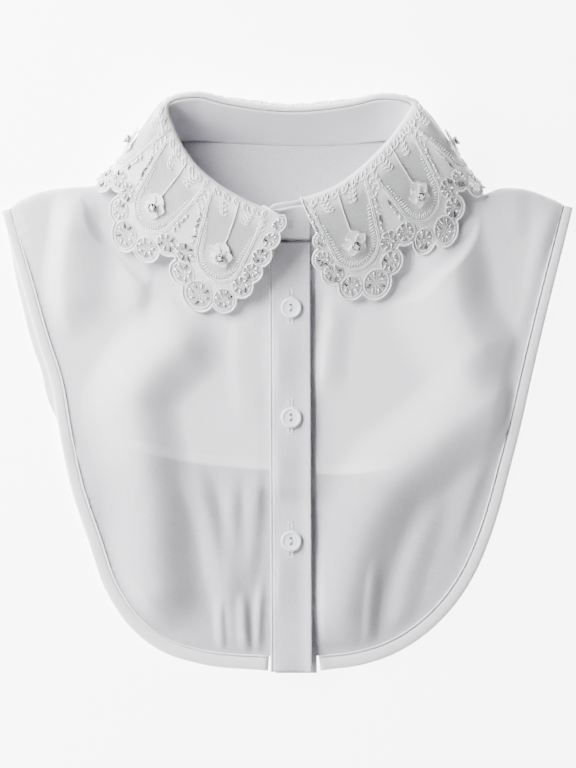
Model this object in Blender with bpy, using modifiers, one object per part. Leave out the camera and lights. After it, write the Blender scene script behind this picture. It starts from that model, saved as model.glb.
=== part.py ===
"""A sleeveless false collar in white chiffon, laid flat on its back.

Two front panels and a short back panel, bound round their edges, a button placket, a neck
band and a turned-down collar leaf of corded lace in nine scalloped lobes, with flowers and
claw-set stones on the lobes that show.

Sizes are in millimetres and become metres as each mesh is made. X runs across the garment,
Y from hem to neck and Z up off the surface. A lobe coordinate runs along the collar: 1 is
the first lobe at the left front, 5 the centre back and 9 the last at the right front.
"""

import math
from collections import namedtuple

import bpy
import numpy as np
from mathutils.geometry import delaunay_2d_cdt

MM = 0.001
WALL = 1.0
GAP = 0.3
SEAM = 0.9
PANEL_GAP = 0.5

# Layers, as heights of each one's underside
LEAF_UNDER = 1.3
FRONT_OVER_BACK = 1.7
HEM_CLEAR = 8.5
HEM_STEP = 12.0

# Where the back panel lies on the leaf's hidden lobes: above this Y and this far each way
NECK_MIDDLE = 1.5
LOBES_UNDER_Y = 86.0
LOBES_UNDER_HALF = 150.0
LOBES_UNDER_STEP = 12.0

PANEL_GRID = 12.0
BACK_GRID = 20.0
BACK_SEAM = 1.7
CORNER_CLEAR = 4.0
SEAM_CLEAR = 3.0
BINDING_WALL = 2.0
BACK_BINDING_WALL = 1.4
BINDING_WIDTH_TOP = 7.0
BINDING_WIDTH_HEM = 9.5
BACK_BINDING_WIDTH = 7.5

PLACKET_WIDTH = 25.7
PLACKET_WALL = 1.6
PLACKET_LEFT_TOP = -11.6
PLACKET_LEAN = 1.2
PLACKET_TOP = 87.0
PLACKET_BOTTOM = -179.0
PLACKET_LIFT = 1.6
PLACKET_WAVE = 0.25
UNDER_PLACKET_WALL = 1.2
UNDER_PLACKET_SHIFT = 3.0

BAND_WALL = 1.2
BAND_START = -0.2
BAND_END = 10.2
BAND_STEP = 0.1
BAND_TOP_GAP = 0.5
BAND_ROUND = 0.25
BAND_ROUND_DROP = 7.0

LEAF_DEPTH = 78.0
LOBE_WIDTH_FOLD = 38.0
LOBE_WIDTH_EDGE = 54.0
FOLD_ROLL = 1.8
FOLD_FREE_DEPTH = 8.0
LEAF_LIFT = 0.25
LEAF_BLEND = 1.0
OFF_PANEL_SLOPE = 1.6
OFF_PANEL_REACH = 6.0
LANDING = 5.5
LANDING_SLOPE = 0.9
LEFT_CORNER_SIDE = 12.5
RIGHT_CORNER_SIDE = 22.0
HIDDEN_START = 3.0
HIDDEN_END = 7.0
SCALLOP_MARGIN = 0.8
SCALLOP_CHORD = 3.6
CORNER_CHORD = 1.2
WHEEL_RIM = 0.55
CORD_HEIGHT = 0.6
CORD_WIDTH = 1.6
CORD_REACH = 26.0

BUTTON_RADIUS = 6.5
BUTTON_HEIGHT = 2.4
BUTTON_HOLE = 0.8
BUTTON_HOLE_APART = 3.1
BUTTON_CLEAR = 0.55
BUTTON_X = 2.5
BUTTON_Y = (46.5, -21.5, -98.0)

FLOWER_WALL = 0.8
FLOWER_DEPTH = 39.5
FLOWER_LIFT = 0.15
FLOWER_AROUND = 30
PETALS = 5
RIDGE_SIDE = 1.5
STONE_DEPTH = 40.0
STONE_CLEAR = 0.35
STONE_RADIUS = 2.6
STONE_HEIGHT = 2.4

NeckRow = namedtuple("NeckRow", "lobe seam_x seam_y seam_z fold_x fold_y fold_z")
LeafRow = namedtuple("LeafRow", "lobe a_x a_y a_z b_x b_y b_z tip_x tip_y tip_z")
Wheel = namedtuple("Wheel", "side depth radius")
Fold = namedtuple("Fold", "x0 y0 x1 y1 width height")
Ring = namedtuple("Ring", "radius notch lift")

# The band's lower seam and its top fold, going round from the left end at the front
NECK = [
    NeckRow(-0.2, 14.0, 88.0, 4.2, 14.0, 109.5, 24.0),
    NeckRow(0.0, 7.5, 88.0, 4.2, 7.5, 109.0, 24.0),
    NeckRow(0.5, -13.0, 88.5, 4.2, -10.5, 106.5, 24.5),
    NeckRow(1.0, -34.5, 95.5, 4.8, -28.5, 113.5, 25.5),
    NeckRow(1.5, -51.0, 106.0, 5.8, -45.5, 124.0, 27.0),
    NeckRow(2.0, -63.5, 117.5, 6.6, -59.0, 137.0, 28.5),
    NeckRow(2.5, -72.0, 132.5, 7.2, -69.0, 154.5, 29.5),
    NeckRow(3.0, -76.0, 147.5, 6.5, -72.5, 171.0, 30.0),
    NeckRow(3.5, -61.5, 150.5, 3.2, -55.5, 175.5, 28.5),
    NeckRow(4.0, -40.5, 149.5, 1.8, -37.0, 171.5, 26.0),
    NeckRow(5.0, 1.5, 147.5, 1.4, 1.5, 167.0, 23.5),
    NeckRow(6.0, 40.0, 148.5, 1.8, 39.5, 170.5, 26.0),
    NeckRow(6.5, 61.0, 150.5, 3.2, 58.5, 174.5, 28.5),
    NeckRow(7.0, 78.5, 148.5, 6.5, 76.0, 171.0, 30.0),
    NeckRow(7.5, 75.0, 135.5, 7.2, 70.5, 160.0, 29.5),
    NeckRow(8.0, 66.0, 123.5, 6.6, 61.0, 147.5, 28.5),
    NeckRow(8.5, 51.5, 109.0, 5.8, 46.5, 133.0, 27.0),
    NeckRow(9.0, 32.5, 96.5, 4.8, 29.5, 120.5, 25.5),
    NeckRow(9.5, 11.5, 91.0, 3.4, 10.5, 113.5, 24.6),
    NeckRow(10.0, -4.0, 90.5, 3.0, -5.0, 110.5, 24.6),
    NeckRow(10.2, -10.5, 91.0, 3.0, -12.0, 110.5, 24.6),
]

# Two guide points and the tip of the line that each lobe's middle follows, down from the fold
LEAF = [
    LeafRow(0.0, 4.0, 84.0, 22, 0.0, 54.0, 7, -4.5, 23.5, 4.4),
    LeafRow(1.0, -36.0, 91.0, 23, -46.0, 65.5, 8, -54.5, 42.5, 4.4),
    LeafRow(2.0, -72.0, 120.0, 27, -89.5, 99.5, 13, -103.5, 80.5, 5.2),
    LeafRow(3.0, -80.0, 164.0, 32, -99.0, 138.0, 16, -118.5, 125.5, 4.0),
    LeafRow(3.5, -65.5, 173.5, 20, -80.0, 152.5, 1, -93.0, 133.0, 1.0),
    LeafRow(4.0, -38.5, 174.5, 8, -46.5, 174.0, 1, -66.5, 122.5, 1.0),
    LeafRow(5.0, 1.5, 171.5, 6, 1.5, 173.0, 1, 1.5, 114.5, 1.0),
    LeafRow(6.0, 41.5, 173.5, 8, 49.0, 174.0, 1, 68.5, 122.5, 1.0),
    LeafRow(6.5, 68.5, 172.0, 20, 85.0, 152.5, 1, 97.0, 133.0, 1.0),
    LeafRow(7.0, 87.0, 161.5, 32, 105.0, 138.0, 16, 122.5, 120.0, 4.0),
    LeafRow(8.0, 72.5, 129.5, 27, 89.5, 103.5, 13, 99.0, 82.5, 5.2),
    LeafRow(9.0, 36.5, 98.0, 23, 46.5, 73.5, 8, 55.0, 50.0, 4.4),
    LeafRow(10.0, -4.0, 84.0, 22, 0.5, 57.5, 7, 4.0, 31.5, 4.4),
]

# Openwork wheels round a lobe: side is towards the front, depth is down from the fold
WHEELS = [
    Wheel(18.5, 51.5, 7.4),
    Wheel(11.0, 63.0, 8.0),
    Wheel(-4.0, 67.5, 9.6),
    Wheel(-16.0, 61.0, 7.6),
    Wheel(-19.0, 49.5, 7.2),
]
FRONT_WHEELS = [
    Wheel(27.0, 11.5, 5.0),
    Wheel(25.5, 20.5, 6.0),
    Wheel(23.5, 31.0, 6.6),
    Wheel(21.5, 41.5, 6.8),
]
RIGHT_FRONT_WHEELS = [
    Wheel(19.0, 30.0, 4.6),
    Wheel(21.5, 41.0, 6.6),
]

# A flower's rings from its middle out: notch is how deep the petals are parted
FLOWER_RINGS = [
    Ring(2.4, 0.0, 0.0),
    Ring(6.0, 0.16, 0.5),
    Ring(8.8, 0.40, 1.5),
]

# Half width and foot of the stitched cord that outlines a lobe's middle
CORD_HALF_TOP = 18.5
CORD_HALF_LOW = 14.5
CORD_FOOT = 55.0
CORD_TOP_DEPTH = 12.0

# Outer edge of the bound fronts, from shoulder tip to hem
LEFT_SIDE = [
    (-177.0, 106.5), (-171.0, 84.0), (-167.0, 70.0), (-155.5, 28.5), (-146.5, -0.5),
    (-141.5, -30.0), (-134.0, -66.0), (-123.5, -98.0), (-112.0, -130.0), (-96.5, -152.5),
    (-79.0, -166.0), (-53.0, -174.5), (-12.0, -178.5),
]  # fmt: skip
RIGHT_SIDE = [
    (177.0, 108.5), (171.0, 84.0), (161.0, 44.0), (151.0, 1.0), (144.5, -28.5),
    (138.0, -54.0), (130.5, -82.0), (124.0, -101.0), (116.0, -119.0), (102.0, -140.0),
    (85.0, -156.5), (66.5, -168.0), (48.0, -174.5), (20.6, -178.5),
]  # fmt: skip

# Outer edge of the bound back, from the left shoulder tip round its hem to the right one
BACK_SIDE = [
    (-175.5, 105.5), (-171.5, 82.5), (-167.5, 60.5), (-163.5, 44.0), (-158.5, 24.5),
    (-152.5, 7.0), (-148.0, -12.0), (-141.0, -24.5), (-127.5, -32.0), (-104.0, -39.0),
    (-64.0, -48.5), (-14.5, -53.5), (45.5, -56.0), (76.0, -51.0), (104.0, -40.0),
    (128.0, -23.0), (141.0, -4.0), (149.0, 20.0), (158.0, 46.0), (168.0, 84.0), (175.0, 106.5),
]  # fmt: skip

# Shoulder folds, from neck point to tip
LEFT_SHOULDER = [
    (-77.5, 146.0), (-85.0, 142.0), (-97.5, 135.0), (-107.0, 127.5), (-118.0, 122.0),
    (-130.5, 121.0), (-154.5, 117.5), (-170.5, 110.0), (-177.0, 106.5),
]  # fmt: skip
RIGHT_SHOULDER = [
    (80.0, 146.5), (89.0, 141.5), (101.0, 133.5), (111.0, 124.0), (121.0, 116.5),
    (131.0, 120.0), (144.5, 120.0), (168.0, 112.0), (177.0, 108.5),
]  # fmt: skip

# Soft folds of the fronts: ends of each crest, half width across and height
FOLDS = [
    Fold(-130.0, 104.0, -138.0, 30.0, 17.0, 3.0),
    Fold(-120.0, -12.0, -66.0, 30.0, 16.0, 4.0),
    Fold(-93.0, -12.0, -89.0, -150.0, 20.0, 5.0),
    Fold(-52.0, -64.0, -42.0, -148.0, 11.0, 2.6),
    Fold(92.0, 84.0, 133.0, 2.0, 26.0, 6.0),
    Fold(133.0, -12.0, 38.0, -124.0, 20.0, 5.0),
    Fold(47.0, -76.0, 42.0, -158.0, 12.0, 3.4),
    Fold(27.0, 66.0, 33.0, 10.0, 9.0, 1.8),
    Fold(155.0, 104.0, 152.0, 52.0, 13.0, 2.4),
]
FOLD_FADE = 14.0

SHOULDER_ROLL = 2.4
SHOULDER_ROLL_WIDTH = 6.0
SHOULDER_ROLL_END = 46.0
NECK_RISE_WIDTH = 16.0
NECK_RISE_FRONT = 1.2
NECK_RISE_SIDE = 2.6
NECK_RISE_Y = 88.0
NECK_RISE_RUN = 50.0

CHIFFON = ("white_chiffon", (0.80, 0.80, 0.81, 1.0), 0.75)
BOUND = ("chiffon_binding", (0.82, 0.82, 0.83, 1.0), 0.7)
LACE = ("corded_lace", (0.84, 0.84, 0.84, 1.0), 0.6)
ORGANZA = ("organza_petal", (0.86, 0.86, 0.86, 1.0), 0.4)
STONE = ("clear_stone", (0.55, 0.56, 0.58, 1.0), 0.08)
BUTTON = ("pearl_button", (0.80, 0.82, 0.84, 1.0), 0.25)


def smooth(value):
    """0 to 1 with level ends."""
    value = np.clip(value, 0.0, 1.0)
    return value * value * (3 - 2 * value)


def through(rows, at):
    """A smooth curve through rows, whose first column is the place along it."""
    rows = np.array(rows, float)
    places, values = rows[:, 0], rows[:, 1:]
    step = np.diff(places)
    slope = np.diff(values, axis=0) / step[:, None]
    middle = (slope[:-1] * step[1:, None] + slope[1:] * step[:-1, None]) / (step[:-1] + step[1:])[:, None]
    tangent = np.vstack([slope[:1], middle, slope[-1:]])
    at = np.atleast_1d(np.asarray(at, float))
    cell = np.clip(np.searchsorted(places, at, side="right") - 1, 0, len(step) - 1)
    width = step[cell][:, None]
    t = (at[:, None] - places[cell][:, None]) / width
    return (
        (2 * t**3 - 3 * t**2 + 1) * values[cell]
        + (t**3 - 2 * t**2 + t) * width * tangent[cell]
        + (3 * t**2 - 2 * t**3) * values[cell + 1]
        + (t**3 - t**2) * width * tangent[cell + 1]
    )


def smooth_path(points, spacing):
    """Points at an even spacing on a smooth curve through the given ones."""
    points = np.array(points, float)
    along = np.concatenate([[0.0], np.cumsum(np.linalg.norm(np.diff(points, axis=0), axis=1))])
    count = max(2, int(round(along[-1] / spacing)) + 1)
    return through(np.column_stack([along, points]), np.linspace(0.0, along[-1], count))


def offset_path(points, distance):
    """The path moved to its left by a distance, which may vary along it."""
    run = np.gradient(points, axis=0)
    run /= np.linalg.norm(run, axis=1)[:, None]
    return points + np.column_stack([-run[:, 1], run[:, 0]]) * np.reshape(distance, (-1, 1))


def path_gap(x, y, path):
    """Distance from each point to an open path."""
    start, end = path[:-1], path[1:]
    run = end - start
    length = np.maximum((run**2).sum(axis=1), 1e-9)
    to_x = x[:, None] - start[None, :, 0]
    to_y = y[:, None] - start[None, :, 1]
    t = np.clip((to_x * run[:, 0] + to_y * run[:, 1]) / length, 0.0, 1.0)
    return np.hypot(to_x - t * run[:, 0], to_y - t * run[:, 1]).min(axis=1)


def inside(x, y, loop):
    """Whether each point lies in a closed loop."""
    start, end = loop, np.roll(loop, -1, axis=0)
    straddles = (start[None, :, 1] > y[:, None]) != (end[None, :, 1] > y[:, None])
    rise = np.where(end[:, 1] == start[:, 1], 1.0, end[:, 1] - start[:, 1])
    crossing = start[:, 0] + (y[:, None] - start[None, :, 1]) * (end[:, 0] - start[:, 0]) / rise
    return (straddles & (x[:, None] < crossing)).sum(axis=1) % 2 == 1


def depth_inside(x, y, loop):
    """Distance in from a loop's edge, negative outside."""
    gap = path_gap(x, y, np.vstack([loop, loop[:1]]))
    return np.where(inside(x, y, loop), gap, -gap)


def seam_line(start, end, spacing=0.12):
    """The neck seam in plan between two lobe coordinates."""
    count = int(abs(end - start) / spacing) + 2
    return through(NECK, np.linspace(start, end, count))[:, :2]


def placket_left(y):
    """The placket's left edge leans a little towards the hem."""
    return PLACKET_LEFT_TOP + PLACKET_LEAN * (PLACKET_TOP - y) / (PLACKET_TOP - PLACKET_BOTTOM)


LEFT_EDGE = smooth_path(LEFT_SIDE, 12.0)
RIGHT_EDGE = smooth_path(RIGHT_SIDE, 12.0)
BACK_EDGE = smooth_path(BACK_SIDE, 12.0)
LEFT_FOLD_LINE = smooth_path(LEFT_SHOULDER, 7.0)
RIGHT_FOLD_LINE = smooth_path(RIGHT_SHOULDER, 7.0)
FRONT_SEAM = offset_path(seam_line(2.95, 0.2), -SEAM)
FRONT_SEAM_RIGHT = offset_path(seam_line(9.6, 7.05), -SEAM)
WHOLE_FRONT = np.vstack(
    [
        LEFT_FOLD_LINE[::-1],
        seam_line(2.9, 0.1),
        seam_line(9.7, 7.1),
        RIGHT_FOLD_LINE,
        RIGHT_EDGE,
        LEFT_EDGE[::-1],
    ]
)
WHOLE_BACK = np.vstack([LEFT_FOLD_LINE[::-1], seam_line(3.1, 6.9), RIGHT_FOLD_LINE, BACK_EDGE[::-1]])


def binding_width(path):
    """The front binding widens from the shoulder tip to the hem."""
    return np.linspace(BINDING_WIDTH_TOP, BINDING_WIDTH_HEM, len(path))


def back_height(x, y):
    """Underside of the back panel: it lies on the leaf's hidden lobes near the neck."""
    up = smooth((y - LOBES_UNDER_Y) / LOBES_UNDER_STEP)
    across = smooth((LOBES_UNDER_HALF - np.abs(x - NECK_MIDDLE)) / LOBES_UNDER_STEP)
    return LEAF_UNDER * up * across


def base_height(x, y):
    """Underside of a front where it lies flat: on the back panel, and past its hem on the surface."""
    over_back = depth_inside(x, y, WHOLE_BACK)
    return back_height(x, y) + FRONT_OVER_BACK * smooth((over_back + HEM_CLEAR + HEM_STEP) / HEM_STEP)


def fold_height(x, y):
    """How far the soft folds lift the fronts."""
    total = np.zeros_like(x)
    for fold in FOLDS:
        crest = np.array([[fold.x0, fold.y0], [fold.x1, fold.y1]])
        total += fold.height * smooth(1 - path_gap(x, y, crest) / fold.width)
    return total


def front_height(x, y):
    """Underside of the front panels with their folds, shoulder roll and rise to the neck seam."""
    seam = np.vstack([FRONT_SEAM, FRONT_SEAM_RIGHT])
    edge = np.minimum(path_gap(x, y, LEFT_EDGE), path_gap(x, y, RIGHT_EDGE))
    shoulder = np.minimum(path_gap(x, y, LEFT_FOLD_LINE), path_gap(x, y, RIGHT_FOLD_LINE))
    neck = path_gap(x, y, seam)
    base = base_height(x, y)
    fade = smooth(edge / FOLD_FADE) * smooth(shoulder / FOLD_FADE)
    round_off = np.clip(1 - shoulder / SHOULDER_ROLL_WIDTH, 0, 1)
    roll = SHOULDER_ROLL * np.sqrt(1 - round_off**2)
    roll *= smooth(1 - (shoulder - SHOULDER_ROLL_WIDTH) / SHOULDER_ROLL_END) * smooth(edge / FOLD_FADE)
    rise = NECK_RISE_FRONT + NECK_RISE_SIDE * smooth((y - NECK_RISE_Y) / NECK_RISE_RUN)
    near = np.exp(-((neck / NECK_RISE_WIDTH) ** 2))
    return base + fold_height(x, y) * fade * (1 - near) + np.maximum(roll, rise * near)


def lobe_width(depth):
    """Width of one lobe of the leaf, which flares from the fold to the edge."""
    return LOBE_WIDTH_FOLD + (LOBE_WIDTH_EDGE - LOBE_WIDTH_FOLD) * np.asarray(depth, float) / LEAF_DEPTH


def towards_front(lobe):
    """Which way the lobe coordinate runs when going towards the front on this lobe."""
    return -1.0 if lobe <= 5 else 1.0


def lobe_place(lobe, side, depth):
    """Lobe coordinate of a point beside a lobe's middle line."""
    return lobe + towards_front(lobe) * np.asarray(side, float) / lobe_width(depth)


def raw_leaf_point(u, depth):
    """The leaf's inner face before it is kept clear of the panels."""
    neck = through(NECK, u)
    ahead = through(NECK, u + 0.02)[:, 3:] - through(NECK, u - 0.02)[:, 3:]
    seam, fold = neck[:, :3], neck[:, 3:]
    rise = fold - seam
    rise /= np.linalg.norm(rise, axis=1)[:, None]
    out = np.cross(rise, ahead)
    out /= np.linalg.norm(out, axis=1)[:, None]
    guides = through(LEAF, u)
    first, second, tip = guides[:, :3], guides[:, 3:6], guides[:, 6:]
    lead = first - fold
    turn = np.arctan2((lead * out).sum(axis=1), (lead * rise).sum(axis=1))
    turn = np.where(turn < 0.6, np.pi * 0.8, turn)
    roll_length = FOLD_ROLL * turn
    angle = np.clip(depth / FOLD_ROLL, 0.0, turn)
    roll = FOLD_ROLL * (out * (1 - np.cos(angle))[:, None] + rise * np.sin(angle)[:, None])
    full_roll = FOLD_ROLL * (out * (1 - np.cos(turn))[:, None] + rise * np.sin(turn)[:, None])
    start = fold + full_roll
    t = np.linspace(0.0, 1.0, 25)[None, :, None]
    curve = (
        (1 - t) ** 3 * start[:, None]
        + 3 * (1 - t) ** 2 * t * (first + full_roll)[:, None]
        + 3 * (1 - t) * t**2 * second[:, None]
        + t**3 * tip[:, None]
    )
    length = np.zeros(curve.shape[:2])
    length[:, 1:] = np.cumsum(np.linalg.norm(np.diff(curve, axis=1), axis=2), axis=1)
    share = np.clip((depth - roll_length) / (LEAF_DEPTH - roll_length), 0.0, 1.0)
    goal = share * length[:, -1]
    cell = np.clip((length < goal[:, None]).sum(axis=1) - 1, 0, curve.shape[1] - 2)
    row = np.arange(len(u))
    span = length[row, cell + 1] - length[row, cell]
    part = ((goal - length[row, cell]) / span)[:, None]
    hanging = curve[row, cell] * (1 - part) + curve[row, cell + 1] * part
    return np.where((depth < roll_length)[:, None], fold + roll, hanging)


def leaf_point(u, depth):
    """The leaf's inner face: over the fronts, round the shoulder folds and under the back."""
    u = np.atleast_1d(np.asarray(u, float))
    depth = np.broadcast_to(np.asarray(depth, float), u.shape)
    point = raw_leaf_point(u, depth)
    x, y, z = point.T
    front = depth_inside(x, y, WHOLE_FRONT)
    floor = front_height(x, y) + WALL + GAP + LEAF_LIFT + OFF_PANEL_SLOPE * np.minimum(front, 0.0)
    lifted = 0.5 * (z + floor + np.sqrt((z - floor) ** 2 + LEAF_BLEND))
    back = depth_inside(x, y, WHOLE_BACK)
    ceiling = WALL + LANDING_SLOPE * np.maximum(-back - LANDING, 0.0)
    lowered = np.maximum(WALL, np.minimum(z, ceiling))
    hidden = (u > HIDDEN_START) & (u < HIDDEN_END)
    height = np.where(hidden, lowered, np.where(front > -OFF_PANEL_REACH, lifted, z))
    return np.column_stack([x, y, np.where(depth > FOLD_FREE_DEPTH, height, z)])


def leaf_normal(u, depth):
    """Outward direction of the leaf."""
    u = np.atleast_1d(np.asarray(u, float))
    depth = np.broadcast_to(np.asarray(depth, float), u.shape)
    across = leaf_point(u + 0.02, depth) - leaf_point(u - 0.02, depth)
    down = leaf_point(u, depth + 0.7) - leaf_point(u, np.maximum(depth - 0.7, 0.0))
    normal = np.cross(across, down)
    return normal / np.linalg.norm(normal, axis=1)[:, None]


def lobe_wheels(lobe):
    """The wheels of one lobe, in the order that its edge meets them."""
    wheels = {1: FRONT_WHEELS, 9: RIGHT_FRONT_WHEELS}.get(lobe, []) + WHEELS
    return wheels if lobe <= 5 else wheels[::-1]


def straight_edge(start, end):
    """Points between two corners of the outline, close enough to follow the roll at the fold."""
    start, end = np.array(start), np.array(end)
    length = math.hypot((end[0] - start[0]) * LOBE_WIDTH_FOLD, end[1] - start[1])
    count = int(length / CORNER_CHORD) + 1
    return [tuple(map(float, start + (end - start) * step / count)) for step in range(1, count)]


def leaf_outline():
    """The scalloped edge, from the left front corner to the right one, as (lobe coordinate, depth)."""
    circles = []
    for lobe in range(1, 10):
        for wheel in lobe_wheels(lobe):
            place = float(lobe_place(lobe, wheel.side, wheel.depth))
            circles.append((place, wheel.depth, wheel.radius + SCALLOP_MARGIN))
    edge = [(float(lobe_place(1, LEFT_CORNER_SIDE, 0.0)), 0.0)]
    cusps = [(circles[0][0] - 0.02, circles[0][1] - circles[0][2] * 0.9)]
    for (u0, d0, r0), (u1, d1, r1) in zip(circles, circles[1:]):
        width = float(lobe_width((d0 + d1) / 2))
        run = np.array([(u1 - u0) * width, d1 - d0])
        apart = float(np.linalg.norm(run))
        along = (apart**2 + r0**2 - r1**2) / (2 * apart)
        out = math.sqrt(max(r0**2 - along**2, 0.01))
        run /= apart
        cusp = run * along + np.array([-run[1], run[0]]) * out
        cusps.append((u0 + cusp[0] / width, d0 + cusp[1]))
    cusps.append((circles[-1][0] + 0.02, circles[-1][1] - circles[-1][2] * 0.9))
    edge += straight_edge(edge[0], cusps[0])
    for (u, d, r), entry, leave in zip(circles, cusps, cusps[1:]):
        width = float(lobe_width(d))
        begin = math.atan2(entry[1] - d, (entry[0] - u) * width)
        end = math.atan2(leave[1] - d, (leave[0] - u) * width)
        while end > begin:
            end -= 2 * math.pi
        count = max(2, int(round((begin - end) * r / SCALLOP_CHORD)))
        edge.append(entry)
        for step in range(1, count):
            angle = begin + (end - begin) * step / count
            edge.append((u + r * math.cos(angle) / width, d + r * math.sin(angle)))
    corner = (float(lobe_place(9, RIGHT_CORNER_SIDE, 0.0)), 0.0)
    return edge + [cusps[-1]] + straight_edge(cusps[-1], corner) + [corner]


def cord_half_width(depth):
    """Half width of the corded outline of a lobe's middle at a depth."""
    straight = CORD_FOOT - CORD_HALF_LOW
    side = CORD_HALF_TOP + (CORD_HALF_LOW - CORD_HALF_TOP) * depth / straight
    if depth <= straight:
        return side
    return math.sqrt(max(CORD_HALF_LOW**2 - (depth - straight) ** 2, 0.0))


def cord_gap(side, depth):
    """Rough distance from the corded outline of a lobe's middle."""
    straight = CORD_FOOT - CORD_HALF_LOW
    half = CORD_HALF_TOP + (CORD_HALF_LOW - CORD_HALF_TOP) * np.clip(depth / straight, 0, 1)
    beside = np.abs(np.abs(side) - half)
    below = np.abs(np.hypot(side, depth - straight) - CORD_HALF_LOW)
    return np.where(depth > straight, below, beside)


def leaf_relief(u, depth):
    """How far lace stands up from the leaf: raised wheels and the cord round each lobe's middle."""
    relief = np.zeros_like(u)
    for lobe in range(1, 10):
        side = (u - lobe) * towards_front(lobe) * lobe_width(depth)
        for wheel in lobe_wheels(lobe):
            gap = np.hypot(side - wheel.side, depth - wheel.depth)
            relief = np.maximum(relief, CORD_HEIGHT * (gap < wheel.radius - WHEEL_RIM))
        near = (np.abs(side) < CORD_REACH) & (depth > CORD_TOP_DEPTH - 0.5)
        relief = np.maximum(relief, CORD_HEIGHT * (near & (cord_gap(side, depth) < 0.3)))
    visible = smooth((HIDDEN_START + 0.25 - u) / 0.3) + smooth((u - HIDDEN_END + 0.25) / 0.3)
    return relief * np.clip(visible, 0.0, 1.0)


def triangles_in(outline, inner):
    """Triangles that fill an outline and use the inner points; outline points come first."""
    outline = [tuple(map(float, point)) for point in outline]
    inner = [tuple(map(float, point)) for point in inner]
    count = len(outline)
    edges = [(i, (i + 1) % count) for i in range(count)]
    points, _, faces, *_ = delaunay_2d_cdt(outline + inner, edges, [], 1, 1e-5)
    points = np.array([tuple(point) for point in points])
    keep = []
    for face in faces:
        a, b, c = (points[i] for i in face)
        area = (b[0] - a[0]) * (c[1] - a[1]) - (b[1] - a[1]) * (c[0] - a[0])
        if abs(area) > 1e-6:
            keep.append(tuple(face) if area > 0 else (face[0], face[2], face[1]))
    return points, keep


def grid_in(outline, spacing, clear):
    """Staggered points inside an outline, clear of its edge."""
    low, high = outline.min(axis=0), outline.max(axis=0)
    found = []
    rows = int((high[1] - low[1]) / (spacing * 0.87)) + 1
    for row in range(rows):
        y = low[1] + spacing * 0.87 * row
        shift = spacing / 2 * (row % 2)
        xs = np.arange(low[0] + shift, high[0], spacing)
        found.append(np.column_stack([xs, np.full(len(xs), y)]))
    found = np.vstack(found)
    return found[depth_inside(found[:, 0], found[:, 1], outline) > clear]


def material(finish):
    """The material of a finish, made once."""
    name, colour, roughness = finish
    made = bpy.data.materials.get(name) or bpy.data.materials.new(name)
    made.use_nodes = True
    shader = made.node_tree.nodes["Principled BSDF"]
    shader.inputs["Base Color"].default_value = colour
    shader.inputs["Roughness"].default_value = roughness
    made.diffuse_color = colour
    return made


def add_object(name, points, faces, finish, collection):
    """A named mesh object from points in millimetres."""
    mesh = bpy.data.meshes.new(name)
    mesh.from_pydata([tuple(point) for point in np.asarray(points) * MM], [], faces)
    mesh.validate()
    mesh.materials.append(material(finish))
    mesh.shade_smooth()
    obj = bpy.data.objects.new(name, mesh)
    collection.objects.link(obj)
    return obj


def add_panel(name, outline, spacing, height, collection, extra=()):
    """A panel as an open sheet at its underside's height, with its wall from Solidify."""
    inner = grid_in(outline, spacing, spacing * 0.35)
    if len(extra):
        extra = np.vstack(extra)
        extra = extra[depth_inside(extra[:, 0], extra[:, 1], outline) > 1.0]
        far = np.array([np.hypot(*(extra - point).T).min() > spacing * 0.4 for point in inner])
        inner = np.vstack([inner[far], extra])
    flat, faces = triangles_in(outline, inner)
    points = np.column_stack([flat, height(flat[:, 0], flat[:, 1])])
    obj = add_object(name, points, faces, CHIFFON, collection)
    wall = obj.modifiers.new("Wall", "SOLIDIFY")
    wall.thickness = WALL * MM
    wall.offset = 1.0
    return obj


def loft(name, sections, finish, collection):
    """A closed solid through sections that have the same number of points."""
    sections = np.asarray(sections, float)
    rows, sides = sections.shape[:2]
    faces = [tuple(range(sides))[::-1], tuple((rows - 1) * sides + i for i in range(sides))]
    for row in range(rows - 1):
        for i in range(sides):
            j = (i + 1) % sides
            a, b = row * sides, (row + 1) * sides
            faces.append((a + i, a + j, b + j, b + i))
    return add_object(name, sections.reshape(-1, 3), faces, finish, collection)


def add_binding(name, edge, widths, wall, height, collection):
    """A padded strip inside an edge path that runs with the garment on its left."""
    inward = offset_path(edge, 1.0) - edge
    profile = [(0.3, 0.0), (1.0, 0.0), (1.0, 0.45), (0.72, 0.95), (0.3, 1.0), (0.0, 0.5)]
    sections = []
    for point, side, width in zip(edge, inward, widths):
        section = []
        for across, up in profile:
            place = point + side * width * across
            section.append((place[0], place[1], up * wall))
        section[0] = (*(point + side * 0.8), 0.0)
        sections.append(section)
    sections = np.array(sections)
    for column in range(sections.shape[1]):
        at = sections[:, column]
        at[:, 2] += height(edge[:, 0], edge[:, 1])
    return loft(name, sections, BOUND, collection)


def placket_height(y):
    """Underside of the under placket along the centre line."""
    y = np.atleast_1d(np.asarray(y, float))
    return base_height(np.full_like(y, 3.0), y) + 0.9 * smooth((y - 60.0) / 26.0)


def add_placket(name, shift, lift, wall, top, bottom, collection):
    """A pressed strip down the centre front. lift is its height at the left, middle and right."""
    ys = np.linspace(top, bottom, 24)
    low = placket_height(ys)
    sections = []
    for y, base in zip(ys, low):
        left = float(placket_left(y)) + shift
        wave = PLACKET_WAVE * math.sin(y / 17.0) * (lift[2] > 0)
        under = [base + lift[0], base + lift[1] + wave * 0.5, base + lift[2] + wave]
        xs = [left, left + PLACKET_WIDTH / 2, left + PLACKET_WIDTH]
        section = [(x, y, z) for x, z in zip(xs, under)]
        section += [
            (xs[2], y, under[2] + wall * 0.6),
            (xs[2] - 0.8, y, under[2] + wall),
            (xs[1], y, under[1] + wall),
            (xs[0] + 0.8, y, under[0] + wall),
            (xs[0], y, under[0] + wall * 0.6),
        ]
        sections.append(section)
    return loft(name, sections, CHIFFON, collection)


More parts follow.
